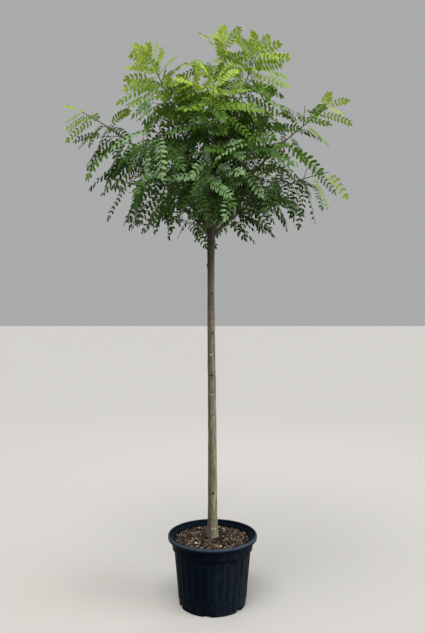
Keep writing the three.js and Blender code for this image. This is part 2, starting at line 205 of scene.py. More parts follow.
def tubes(rings: Array, marks: dict[str, Array] | None = None, tones: Array | None = None) -> Skin:
    """Closed tubes through rings of points: quads between rings, and a fan over each end from its middle.

    Args:
        rings: points by tube, ring and side. The sides run anticlockwise as seen from the next ring.
        marks: numbers by tube and ring, or by tube, ring and side, which are 0 at the ends' middles.
        tones: which finish each tube takes.

    Returns:
        The skin of all the tubes.
    """
    count, rows, columns = rings.shape[:3]
    here = np.arange(count * rows * columns).reshape(count, rows, columns)
    turned = np.roll(here, -1, axis=2)
    quads = np.stack([here[:, :-1], turned[:, :-1], turned[:, 1:], here[:, 1:]], axis=-1).reshape(-1, 4)
    ends = np.stack([rings[:, 0].mean(1), rings[:, -1].mean(1)], axis=1).reshape(-1, 3)
    middle = here.size + np.arange(2 * count).reshape(count, 2, 1) + np.zeros(columns, np.int64)
    first = np.stack([middle[:, 0], turned[:, 0], here[:, 0]], axis=-1)
    last = np.stack([middle[:, 1], here[:, -1], turned[:, -1]], axis=-1)
    spread = {
        name: np.append(values, np.zeros(2 * count)) if values.ndim == 3
        else np.append(np.repeat(values, columns), values[:, [0, -1]])
        for name, values in (marks or {}).items()
    }
    tones = np.zeros(count, int) if tones is None else tones
    return Skin(
        np.concatenate([rings.reshape(-1, 3), ends]), quads, np.concatenate([first, last]).reshape(-1, 3),
        np.repeat(tones, (rows - 1) * columns), np.tile(np.repeat(tones, columns), 2), spread,
    )


def limbs(centres: Array, headings: Array, radii: Array, columns: int, sides: Array | None = None) -> Array:
    """Round rings about courses: centre + radius (side cos turn + (heading x side) sin turn).

    Args:
        centres: the middle of each ring, by limb and ring.
        headings: the limb's direction there.
        radii: the radius, by limb and ring, or by limb, ring and side.
        columns: how many points a ring has.
        sides: directions square to the headings, or else the level ones.

    Returns:
        The points by limb, ring and side.
    """
    sides = level(headings) if sides is None else sides
    turn, over = circle(columns)[:, None], np.cross(headings, sides)
    way = sides[..., None, :] * np.cos(turn) + over[..., None, :] * np.sin(turn)
    return centres[..., None, :] + (radii[..., None] if radii.ndim == 2 else radii)[..., None] * way


def make_piece(
    name: str, skin: Skin, finishes: list[Material], stands_for: list[str] | None = None
) -> bpy.types.Object:
    """Makes a skin an object that rides on the root body.

    Args:
        name: the piece's name.
        skin: its mesh, in millimetres.
        finishes: its materials, in the order of the skin's tones.
        stands_for: the nodes that it replaces.

    Returns:
        The object.
    """
    mesh = bpy.data.meshes.new(name)
    mesh.vertices.add(len(skin.points))
    mesh.vertices.foreach_set("co", (skin.points * MM).astype(np.float32).ravel())
    corners = np.append(skin.quads, skin.triangles).astype(np.int32)
    sizes = np.repeat([4, 3], [len(skin.quads), len(skin.triangles)])
    mesh.loops.add(len(corners))
    mesh.loops.foreach_set("vertex_index", corners)
    mesh.polygons.add(len(sizes))
    mesh.polygons.foreach_set("loop_start", (np.cumsum(sizes) - sizes).astype(np.int32))
    tones = np.append(skin.quad_tones, skin.triangle_tones).astype(np.int32)
    mesh.polygons.foreach_set("material_index", tones)
    mesh.polygons.foreach_set("use_smooth", np.ones(len(sizes), bool))
    for mark, values in skin.marks.items():
        mesh.attributes.new(mark, "FLOAT", "POINT").data.foreach_set("value", values.astype(np.float32))
    mesh.update(calc_edges=True)
    mesh.validate()
    for finish in finishes:
        mesh.materials.append(finish)
    piece = bpy.data.objects.new(name, mesh)
    bpy.context.scene.collection.objects.link(piece)
    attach(piece, "root")
    if stands_for:
        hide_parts(*stands_for)
    log.info("%s: %d triangles", name, 2 * len(skin.quads) + len(skin.triangles))
    return piece


# Finishes


class Recipe:
    """A material in the making: its nodes, and its Principled shader."""

    def __init__(self, name: str, colour: Colour, roughness: float, specular: float) -> None:
        """Starts a material with constants on its shader.

        Args:
            name: the material's name.
            colour: its base colour, linear.
            roughness: its roughness.
            specular: its specular level.
        """
        self.material = bpy.data.materials.new(name)
        self.material.use_nodes = True
        self.material.diffuse_color = (*colour, 1)
        self.tree = self.material.node_tree
        self.shader = self.tree.nodes["Principled BSDF"].inputs
        self.feed(self.shader["Base Color"], (*colour, 1))
        self.feed(self.shader["Roughness"], roughness)
        self.feed(self.shader["Specular IOR Level"], specular)

    def feed(self, socket: Socket, value: object) -> None:
        """Links an output to an input, or sets a constant on it.

        Args:
            socket: the input.
            value: the output or the constant.
        """
        if isinstance(value, Socket):
            self.tree.links.new(value, socket)
        else:
            socket.default_value = value

    def node(self, kind: str, output: str | int, inputs: dict, **settings: object) -> Socket:
        """Adds a node.

        Args:
            kind: the node's type without its prefix.
            output: which of its outputs is wanted.
            inputs: what feeds each input, by name or number.
            settings: its properties.

        Returns:
            The output's socket.
        """
        made = self.tree.nodes.new("ShaderNode" + kind)
        for name, value in settings.items():
            setattr(made, name, value)
        for name, value in inputs.items():
            self.feed(made.inputs[name], value)
        return made.outputs[output]

    def place(self, stretch: Place = (1, 1, 1)) -> Socket:
        """Object coordinates times a stretch."""
        seen = self.node("TexCoord", "Object", {})
        return self.node("Mapping", "Vector", {"Vector": seen, "Scale": stretch})

    def noise(self, scale: float, stretch: Place = (1, 1, 1), detail: float = 3) -> Socket:
        """A noise factor in object space, from waves to the metre times a stretch, and octaves."""
        return self.node("TexNoise", "Fac", {"Vector": self.place(stretch), "Scale": scale, "Detail": detail})

    def spots(self, scale: float, stretch: Place = (1, 1, 1)) -> Socket:
        """The distance to the nearest of many scattered points in object space."""
        return self.node("TexVoronoi", "Distance", {"Vector": self.place(stretch), "Scale": scale})

    def mark(self, name: str) -> Socket:
        """A number that the mesh carries for each point."""
        return self.node("Attribute", "Fac", {}, attribute_name=name)

    def along(self, axis: str) -> Socket:
        """The place along X, Y or Z in metres."""
        return self.node("SeparateXYZ", axis, {"Vector": self.place()})

    def ranged(self, value: Socket, low: float, high: float, top: float = 1.0) -> Socket:
        """A value that eases from 0 at low to top at high."""
        ends = {"From Min": low, "From Max": high, "To Min": 0.0, "To Max": top}
        return self.node("MapRange", "Result", {"Value": value, **ends}, interpolation_type="SMOOTHSTEP")

    def clouds(self, scale: float, low: float, high: float, top: float = 1.0,
               stretch: Place = (1, 1, 1), detail: float = 3) -> Socket:
        """A noise factor that eases from 0 at low to top at high."""
        return self.ranged(self.noise(scale, stretch, detail), low, high, top)

    def sums(self, how: str, first: object, second: object) -> Socket:
        """A sum on two values, such as ADD or MULTIPLY, held between 0 and 1."""
        return self.node("Math", "Value", {0: first, 1: second}, operation=how, use_clamp=True)

    def blend(self, share: object, first: object, second: object, how: str = "MIX") -> Socket:
        """A mix of two colours or sockets, by how much of the second it has and by the type of blend."""
        first, second = (colour if isinstance(colour, Socket) else (*colour, 1) for colour in (first, second))
        return self.node("Mix", 2, {0: share, 6: first, 7: second}, data_type="RGBA", blend_type=how)

    def relief(self, height: Socket, depth: float, strength: float = 1.0) -> None:
        """Adds a bump on top of those added before.

        Args:
            height: the pattern.
            depth: how deep it is, in metres.
            strength: how much of it shows.
        """
        bump = {"Strength": strength, "Distance": depth, "Height": height}
        if self.shader["Normal"].is_linked:
            bump["Normal"] = self.shader["Normal"].links[0].from_socket
        self.feed(self.shader["Normal"], self.node("Bump", "Normal", bump))

    def paint(self, colour: Socket) -> None:
        """Links a colour to the shader."""
        self.feed(self.shader["Base Color"], colour)


def times(colour: Colour, factor: float, most: float = 1.0) -> Colour:
    """A colour times a factor, up to a most."""
    return tuple(min(factor * part, most) for part in colour)


@dataclass(frozen=True)
class MouldedPlastic:
    """Blue-black polypropylene with a fine moulded grain, worn paler on the rim under a painted highlight,
    dusty low down with a painted sheen on one side, and painted shade in its recesses.
    """

    colour: Colour = (0.0008, 0.0026, 0.0070)
    # worn plastic with a painted highlight, on the rim and the rib crests
    worn_and_highlit: Colour = (0.034, 0.049, 0.070)
    # soil dust low down, and a painted sheen on the side towards the side light
    dust: Colour = (0.011, 0.015, 0.019)
    # painted shade in the drain notches and under the collar
    hole: Colour = (0.0003, 0.0003, 0.0004)
    dull: Pair = (0.38, 0.60)  # the roughness where the mould was smooth and where it was worn

    def make(self) -> Material:
        """Tints the plastic, paints wear with a highlight, dust with a sheen and shade in the recesses, and
        roughens it with two sizes of grain.

        Returns:
            The material.
        """
        r = Recipe("moulded_plastic", self.colour, 0.45, 0.025)
        tinted = r.blend(r.clouds(9, 0.35, 0.7, 0.5, detail=4), self.colour, times(self.colour, 1.7))
        # wear, with a painted highlight on the rim's upper roll and on the rib crests
        worn_and_highlit_share = r.sums("MULTIPLY", r.mark("wear"), r.clouds(55, 0.05, 0.5, stretch=(1, 1, 0.5)))
        # soil dust splashed low down, and a painted sheen on one side
        dust_and_sheen = r.sums("MULTIPLY", r.mark("dusty"), r.clouds(60, 0.25, 0.75, 0.6, (1, 1, 0.3), 6))
        tinted = r.blend(dust_and_sheen, r.blend(worn_and_highlit_share, tinted, self.worn_and_highlit), self.dust)
        # painted shade in the notches and under the collar
        r.paint(r.blend(r.mark("hole"), tinted, self.hole))
        span = {"Value": r.noise(30, (1, 1, 0.3), 4), "To Min": self.dull[0], "To Max": self.dull[1]}
        r.feed(r.shader["Roughness"], r.node("MapRange", "Result", span))
        r.relief(r.noise(700, detail=2), 0.00010, 0.5)
        r.relief(r.noise(26, (1, 1, 0.25)), 0.0006, 0.35)
        return r.material


@dataclass(frozen=True)
class StemBark:
    """Smooth young bark: grey-beige below, dark olive under the head with painted shade of the crown, lit
    paler on the right and shaded on the left by painted light, with fine streaks, pores and scars.
    """

    pale: Colour = (0.210, 0.187, 0.142)
    grey: Colour = (0.086, 0.079, 0.060)
    shaded: Colour = (0.80, 0.80, 0.80)  # painted shade and painted light: what the left side's colour is multiplied by, and the right side's
    painted_lit: Colour = (1.62, 1.58, 1.50)
    side: Pair = (-0.018, 0.017)  # where the one ends and the other starts, in metres
    under_head: Pair = (1.22, 1.62)  # the heights that it darkens between, in metres, with painted shade of the crown
    # darker bark in patches, and the painted shade of the crown under the head
    dark: Colour = (0.030, 0.026, 0.014)
    green: Colour = (0.070, 0.072, 0.034)
    hollow: Colour = (0.016, 0.012, 0.009)
    scar: Colour = (0.40, 0.36, 0.28)

    def make(self) -> Material:
        """Blends the barks from the ground up with the crown's painted shade, then the painted light and
        shade across, the pores and the scars.

        Returns:
            The material.
        """
        r = Recipe("stem_bark", self.grey, 0.85, 0.25)
        skin = r.blend(r.clouds(150, 0.32, 0.70, 1, (1, 1, 0.09), 5), self.grey, self.pale)
        mossy = r.clouds(26, 0.30, 0.70, 1, (1, 1, 0.35), 4)
        skin = r.blend(r.sums("MULTIPLY", mossy, 0.55), skin, self.green)
        patches = r.clouds(14, 0.5, 0.9, 0.25, (1, 1, 0.3), 4)
        # random dark patches, and painted shade of the crown rising towards the head
        uneven = r.sums("ADD", r.ranged(r.along("Z"), *self.under_head), patches)
        skin = r.blend(r.sums("MULTIPLY", uneven, 0.93), skin, self.dark)
        # painted light on the right side and painted shade on the left
        across = r.blend(r.ranged(r.along("X"), *self.side), self.shaded, self.painted_lit)
        skin = r.blend(1.0, skin, across, "MULTIPLY")
        pores = r.ranged(r.spots(170, (1, 1, 2.2)), 0.26, 0.10, 0.6)
        skin = r.blend(pores, skin, self.scar)
        skin = r.blend(r.clouds(420, 0.35, 0.65, 0.5, (1, 1, 0.3)), skin, self.hollow, "SOFT_LIGHT")
        skin = r.blend(r.mark("scar"), skin, self.scar)
        r.paint(r.blend(r.mark("hollow"), skin, self.hollow))
        r.relief(r.noise(520, (1, 1, 0.22), 5), 0.0005, 0.6)
        r.relief(pores, 0.0005, 0.5)
        return r.material


@dataclass(frozen=True)
class LimbBark:
    """Olive-brown bark on the boughs that passes into the dark green skin of this year's shoots."""

    old: Colour = (0.034, 0.027, 0.015)
    young: Colour = (0.032, 0.048, 0.016)
    pore: Colour = (0.24, 0.22, 0.15)

    def make(self) -> Material:
        """Blends the old bark into the young, under pale pores.

        Returns:
            The material.
        """
        r = Recipe("limb_bark", self.old, 0.72, 0.3)
        old = r.blend(r.clouds(60, 0.35, 0.68, detail=4), self.old, times(self.old, 1.9))
        skin = r.blend(r.mark("young"), old, self.young)
        r.paint(r.blend(r.ranged(r.spots(210), 0.22, 0.08, 0.55), skin, self.pore))
        r.relief(r.noise(330, detail=4), 0.0005, 0.6)
        return r.material


@dataclass(frozen=True)
class LeafTone:
    """One age or light of leaf: a plain colour over, and a paler, duller one under, which on the lighter
    tones also holds painted light shining through.
    """

    name: str
    over: Colour
    under: Colour
    roughness: float = 0.46
    specular: float = 0.12

    def make(self) -> list[Material]:
        """The finishes of both sides.

        Returns:
            The materials of the upper side and the under side.
        """
        made = []
        for face, colour, rough in (("over", self.over, 0.0), ("under", self.under, 0.14)):
            r = Recipe(f"{self.name}_{face}", colour, self.roughness + rough, self.specular - rough / 2)
            r.relief(r.noise(260, detail=2), 0.0003, 0.35)
            made.append(r.material)
        return made


@dataclass(frozen=True)
class PottingMix:
    """Damp composted bark: near-black crumbs and chips up to tan, with pale fibres and white grains."""

    crumbs: Colour = (0.007, 0.005, 0.004)
    chips: tuple[Colour, ...] = (
        (0.007, 0.005, 0.004), (0.034, 0.020, 0.013), (0.095, 0.058, 0.037),
        (0.230, 0.160, 0.105), (0.460, 0.370, 0.270), (0.700, 0.680, 0.640),
    )

    def ground(self) -> Material:
        """The crumbs between the chips.

        Returns:
            The material.
        """
        r = Recipe("soil_crumbs", self.crumbs, 0.95, 0.2)
        r.paint(r.blend(r.clouds(330, 0.42, 0.66, detail=5), self.crumbs, times(self.crumbs, 3.4)))
        r.relief(r.noise(420, detail=5), 0.0015, 0.9)
        return r.material

    def pieces(self) -> list[Material]:
        """The chips, fibres and grains.

        Returns:
            One material for each colour.
        """
        made = []
        for number, colour in enumerate(self.chips):
            r = Recipe(f"soil_piece_{number}", colour, 0.9, 0.2)
            r.paint(r.blend(r.clouds(240, 0.35, 0.7, detail=4), times(colour, 0.6), times(colour, 1.25, 0.9)))
            r.relief(r.noise(500), 0.0005, 0.7)
            made.append(r.material)
        return made


# The pot


@dataclass
class NurseryPot:
    """The ribbed container: rolled rim, smooth collar, shallow ribs, foot band and drain notches."""

    height: float = 308
    rim_radius: float = 200
    base_radius: float = 150
    taper: float = 0.092  # how much the wall's radius grows for each millimetre of height
    wall: float = 3
    foot_height: float = 24
    foot_inset: float = 2
    ribs_from: float = 54
    ribs_to: float = 241
    ribs: int = 30
    rib_depth: float = 2.9
    rib_arch: float = 13  # how much lower a groove ends beside a rib than in its middle
    rib_end: float = 5  # the height over which a groove runs out
    collar_from: float = 246
    collar_step: float = 6.5
    lip_height: float = 21
    lip_width: float = 15
    lip_square: float = 0.75  # 1 for a lip with a round section, less for a squarer one
    notches: int = 6
    notch_width: float = 30
    notch_height: float = 17
    notch_depth: float = 19
    notch_at: float = -100
    still: float = 100  # inside this radius a notch moves nothing
    dusty_side: float = -38  # which side has a painted sheen, in degrees from +X
    dusty_from: float = 0.35  # the cosine of the angle from there at which the painted sheen starts
    dust_and_sheen: float = 1.1  # how much of the painted sheen shows
    splashed: Pair = (80, 0.7)  # how high soil has splashed, and how much of it shows
    worn_and_highlit: Pair = (294, 305)  # the heights that the rim gets paler between: worn, and painted with a highlight
    crest_wear_and_highlight: Pair = (0.05, 0.15)  # how worn the ribs are, and how much more so under the painted sheen, as a painted highlight on the crests
    shade: float = 0.7  # how dark the painted shade under the collar gets over the grooves' upper ends
    columns: int = 360

    def wall_line(self, z: Array | float, out: Array | float = 0) -> Array:
        """Rows of radius and height up the wall, moved out: base radius plus taper times height."""
        return np.stack([self.base_radius + self.taper * z + out, z], axis=1)

    def from_notch(self, turn: Array) -> Array:
        """How far angles are from the middle of the nearest notch."""
        middles = math.radians(self.notch_at) + circle(self.notches)
        return np.abs(wrapped(turn[:, None] - middles)).min(1)

    def turns(self) -> Array:
        """The angles of the columns: evenly spread, with a pair close together at each side of a notch.

        Returns:
            The angles in radians, in order.
        """
        half, close, clear = self.notch_half, 0.0012, 0.006
        middles = math.radians(self.notch_at) + circle(self.notches)
        edges = (middles[:, None] + np.array([-half, half])).ravel()
        even = circle(self.columns)
        apart = np.abs(wrapped(even[:, None] - edges)).min(1) > clear
        pairs = np.append(edges - close, edges + close) % FULL_TURN
        return np.sort(np.append(even[apart], pairs))

    @property
    def notch_half(self) -> float:
        """Half the angle that a notch takes up."""
        return math.asin(self.notch_width / 2 / self.base_radius)

    def profile(self) -> Array:
        """The wall's section as rows of radius and height, from the middle underneath to the middle inside.

        The foot, the collar's step and the rim are rounded. The rim is an arc of a squared-off ellipse:
        each half axis times a power of the cosine or the sine.

        Returns:
            The rows.
        """
        foot, inset = self.foot_height, self.foot_inset
        lip_base, top = self.height - self.lip_height, self.collar_from
        low = np.array([0.5, 2, 8, self.notch_height - 0.2, self.notch_height + 0.2, foot - 1.5, foot])
        ease, step = np.linspace(0.25, 1, 4), np.linspace(0, 1, 6)
        ribbed = np.concatenate([
            np.linspace(32, self.ribs_from, 5), np.linspace(self.ribs_from + 2, self.ribs_from + 14, 7),
            np.linspace(self.ribs_from + 24, self.ribs_to - 26, 12),
            np.linspace(self.ribs_to - 22, self.ribs_to, 12), [self.ribs_to + 4],
        ])
        half = np.array([self.lip_width, self.lip_height]) / 2
        turn = np.radians(np.linspace(-84, 176, 27))
        way = np.stack([np.cos(turn), np.sin(turn)], axis=1)
        lip = [self.rim_radius, self.height] - half + half * np.sign(way) * np.abs(way) ** self.lip_square
        down = np.concatenate([np.linspace(lip_base + 4, 240, 10), np.linspace(220, self.wall + 2, 6)])
        inner = -self.wall - self.rib_depth
        return np.concatenate([
            [[0, 0], [90, 0], [self.base_radius - inset - 1.2, 0]],
            self.wall_line(low, -inset),
            self.wall_line(foot + 2.4 * ease, -inset * (1 - smooth(ease))),
            self.wall_line(ribbed),
            self.wall_line(top - 1.5 + 2 * step, self.collar_step * smooth(step)),
            self.wall_line(np.linspace(top + 4, lip_base - 1, 8), self.collar_step),
            lip,
            self.wall_line(down, inner),
            [[self.base_radius + inner - 3, self.wall], [90, self.wall], [0, self.wall]],
        ])

    def skin(self) -> Skin:
        """The pot as one turned surface.

        A point's radius is the profile's, less the rib depth times the sine of half the rib turn inside
        the ribbed band, which ends in arches, and less the notch depth inside a notch.

        Returns:
            The skin. It is marked where it is worn pale under a painted highlight, where soil dust and a
            painted sheen lie, and where painted shade darkens it.
        """
        section, turn = self.profile()[1:-1], self.turns()
        radius, z = (np.repeat(column[:, None], len(turn), axis=1) for column in section.T)
        outside = (np.arange(len(section)) < np.argmax(section[:, 1]))[:, None]
        wave = np.abs(np.sin(self.ribs * turn / 2))
        arch = self.rib_arch * (1 - np.sqrt(wave))
        ends = (self.ribs_to - arch - z) / self.rib_end, (z - self.ribs_from - arch / 2) / self.rib_end
        ribbed = smooth(ends[0]) * smooth(ends[1]) * outside
        cut = (self.from_notch(turn) < self.notch_half) & (z < self.notch_height) & outside
        radius = radius - self.rib_depth * wave * ribbed - self.notch_depth * (cut & (radius > self.still))
        # the side that faces the side light gets a painted sheen
        facing = np.cos(turn - math.radians(self.dusty_side))
        dust_and_sheen = smooth((facing - self.dusty_from) / (1 - self.dusty_from))
        # the rim is worn paler towards its top, with a painted highlight there
        rim = smooth((z - self.worn_and_highlit[0]) / (self.worn_and_highlit[1] - self.worn_and_highlit[0]))
        # rib crests worn pale, with a painted highlight on the side of the painted sheen
        crest = (self.crest_wear_and_highlight[0] + self.crest_wear_and_highlight[1] * dust_and_sheen) * bell(wave / 0.3) * ribbed
        splash = self.splashed[1] * smooth((self.splashed[0] - z) / self.splashed[0])
        # painted shade under the collar over the grooves' upper ends, and in the notches
        shadow = self.shade * smooth((z - self.ribs_to + 9) / 8) * (z < self.collar_from - 1) * outside
        marks = {
            "wear": np.where(z > self.height - self.lip_height, np.where(outside, rim, 0.05), crest),
            "dusty": (splash + self.dust_and_sheen * dust_and_sheen * smooth((300 - z) / 40)) * outside,
            "hole": np.maximum(shadow, cut),
        }
        rings = np.stack([radius * np.cos(turn), radius * np.sin(turn), z], axis=-1)
        return tubes(rings[None], {name: mark[None] for name, mark in marks.items()})

    def build(self, finish: MouldedPlastic) -> None:
        """Makes the pot, with its sharp corners kept sharp."""
        piece = make_piece("pot_shell", self.skin(), [finish.make()], ["pot"])
        piece.data.set_sharp_from_angle(angle=math.radians(38))


# The soil


@dataclass
class PottingSoil:
    """The potting mix: a crumbly ground, heaped towards the trunk, under chips, fibres and white grains."""

    edge: Pair = (170.0, 282.5)  # the radius and the height there
    shoulder: Pair = (118, 289.5)
    seat: Pair = (42, 295)
    trunk_radius: float = 29
    bevel: float = 6  # how far the ground goes down where it meets the pot
    depth: float = 26  # and how far its skin goes on down beside the pot
    chips: int = 2700
    fibres: int = 780
    grains: int = 95
    chip_shares: tuple[float, ...] = (0.50, 0.73, 0.875, 0.955)  # of chips up to each tone, from the darkest
    grain_tone: int = 5
    # height, width, a number that picks the pattern, and octaves
    heaps: tuple[tuple[float, float, int, int], ...] = ((3.6, 24, 31, 2), (1.5, 6, 37, 2))
    chip_length: Pair = (3.5, 11)  # from the middle
    chip_width: Pair = (0.32, 0.75)  # over its length
    chip_depth: Pair = (0.7, 2.2)
    chip_edge: Pair = (0.72, 1.12)  # how uneven its outline is
    shaded_within: float = 88  # painted shade: chips nearer to the trunk are darker
    fibre_length: Pair = (6, 15)  # from the middle
    fibre_radius: Pair = (0.35, 0.8)
    grain_size: Pair = (0.9, 2.3)

    def heights(self, x: Array, y: Array) -> Array:
        """The ground's height: straight between the named radii, with lumps of two sizes.

        Args:
            x: across.
            y: away.

        Returns:
            The heights.
        """
        radii, levels = zip((0, self.seat[1]), self.seat, self.shoulder, self.edge)
        flat = np.stack([x, y, np.zeros_like(x)], axis=-1)
        heaped = np.interp(np.hypot(x, y), radii, levels)
        return heaped + sum(height * lumps(flat, *pattern) for height, *pattern in self.heaps)

    def ground(self) -> Skin:
        """The ground as rings about the axis, closed by a skirt and a flat underside.

        Returns:
            The skin.
        """
        radii = np.concatenate([np.linspace(2, self.edge[0], 96), [self.edge[0]] * 2])[:, None]
        x, y = radii * np.cos(circle(260)), radii * np.sin(circle(260))
        z = self.heights(x, y)
        z[-2] -= self.bevel
        z[-1] = self.edge[1] - self.depth
        return tubes(np.stack([x, y, z], axis=-1)[None, ::-1])

    def scattered(self, n: Array, seed: int, margin: float) -> tuple[Array, Array]:
        """Places spread evenly over the soil, from the trunk to the edge.

        Args:
            n: a whole number for each.
            seed: a whole number that picks the pattern.
            margin: how far they stay off the pot.

        Returns:
            The places as x, y and z, and a turn for each in radians.
        """
        inner, outer = (self.trunk_radius + 1) ** 2, (self.edge[0] - margin) ** 2
        r, a = np.sqrt(between(inner, outer, n, seed)), FULL_TURN * chance(n, seed + 1)
        x, y = r * np.cos(a), r * np.sin(a)
        return np.stack([x, y, self.heights(x, y)], axis=1), FULL_TURN * chance(n, seed + 2)

    def chip_skin(self) -> Skin:
        """Flat chips of bark: two uneven six-sided rings, one over the other, tipped and turned.

        Returns:
            The skin.
        """
        n = np.arange(self.chips)
        place, turn = self.scattered(n, 60, 6)
        long = lerp(*self.chip_length, chance(n, 64) ** 2)
        wide = long * between(*self.chip_width, n, 65)
        thick = between(*self.chip_depth, n, 66)[:, None] / 2
        uneven = between(*self.chip_edge, n[:, None], np.arange(6), 67)
        x = long[:, None] * uneven * np.cos(circle(6))
        y = wide[:, None] * uneven * np.sin(circle(6))
        under, over = -thick + 0 * x, thick + 0 * x
        faces = [np.stack([x, y, under], axis=-1), np.stack([0.86 * x, 0.86 * y, over], axis=-1)]
        pitch, bank = between(-0.75, 0.75, n, 68), between(-0.5, 0.5, n, 69)
        rings = self.tipped(np.stack(faces, axis=1), turn, pitch, bank)
        inside = self.shaded_within - np.hypot(place[:, 0], place[:, 1])
        # darker in random patches, and with painted shade near the trunk
        patches_and_shade = 0.30 * lumps(place, 22, 73, 2) + 0.42 * smooth(inside / 45)
        lifted = place + UP * between(-0.4, 1.8, n, 70)[:, None]
        tones = np.searchsorted(self.chip_shares, chance(n, 71) - patches_and_shade)
        return tubes(rings + lifted[:, None, None], {}, tones)

    def fibre_skin(self) -> Skin:
        """Thin bent fibres: three-sided tubes along a shallow arc.

        Returns:
            The skin.
        """
        n, share = np.arange(self.fibres), np.linspace(-1, 1, 5)
        place, turn = self.scattered(n, 80, 16)
        long = between(*self.fibre_length, n, 84)[:, None]
        bow = long * between(-0.35, 0.35, n, 85)[:, None] * share**2
        rise = between(0.5, 2.0, n, 86)[:, None] * (1 - share**2) + 0.3
        centres = np.stack([long * share, bow, rise], axis=-1)
        radii = between(*self.fibre_radius, n, 87)[:, None] * np.array([0.5, 1, 1, 0.9, 0.4])
        rings = limbs(centres, unit(np.gradient(centres, axis=1)), radii, 3)
        rings = self.tipped(rings, turn, between(-0.3, 0.3, n, 88), 0 * turn) + (place + UP)[:, None, None]
        return tubes(rings, {}, 2 + np.searchsorted([0.4, 0.8], chance(n, 89)))

    def grain_skin(self) -> Skin:
        """White mineral grains: small double cones with uneven waists.

        Returns:
            The skin.
        """
        n = np.arange(self.grains)
        place, turn = self.scattered(n, 95, 10)
        size = between(*self.grain_size, n, 97)[:, None, None]
        wide, high = np.array([[0.35, -0.7], [1.0, -0.1], [0.6, 0.75]]).T[..., None]
        reach = size * wide * between(0.8, 1.2, n[:, None, None], np.arange(6), 98)
        x, y = reach * np.cos(circle(6)), reach * np.sin(circle(6))
        rings = np.stack([x, y, size * high + 0 * reach], axis=-1)
        rings = self.tipped(rings, turn, 0.4 * chance(n, 99), 0 * turn) + (place + UP * 1.6)[:, None, None]
        return tubes(rings, {}, np.full(self.grains, self.grain_tone))

    @staticmethod
    def tipped(rings: Array, turn: Array, pitch: Array, bank: Array) -> Array:
        """Small things about their own middles, tipped two ways and then turned about +Z.

        Args:
            rings: their points, by thing, ring and side.
            turn: the turn of each about +Z.
            pitch: how far each is tipped about its y axis.
            bank: how far each is tipped about its x axis.

        Returns:
            The moved points.
        """
        x, y, z = np.moveaxis(rings, -1, 0)
        angles = np.stack([pitch, bank, turn])[..., None, None]
        (cp, cb, ct), (sp, sb, st) = np.cos(angles), np.sin(angles)
        x, z = cp * x + sp * z, cp * z - sp * x
        y, z = cb * y - sb * z, cb * z + sb * y
        return np.stack([ct * x - st * y, st * x + ct * y, z], axis=-1)

    def build(self, finish: PottingMix) -> None:
        """Makes the ground and what lies on it.

        Args:
            finish: the potting mix.
        """
        make_piece("soil_ground", self.ground(), [finish.ground()], ["soil"])
        loose = joined([self.chip_skin(), self.fibre_skin(), self.grain_skin()])
        make_piece("soil_chips", loose, finish.pieces())


# The trunk


@dataclass(frozen=True)
class Knot:
    """A mark on the trunk: how high, how far round from the front, how wide, how proud and how deep."""

    height: float
    turn: float  # degrees, towards the right as seen from the front
    size: float
    proud: float
    hollow: float
    tall: float = 1.0  # its height over its width
    pale: float = 0.0


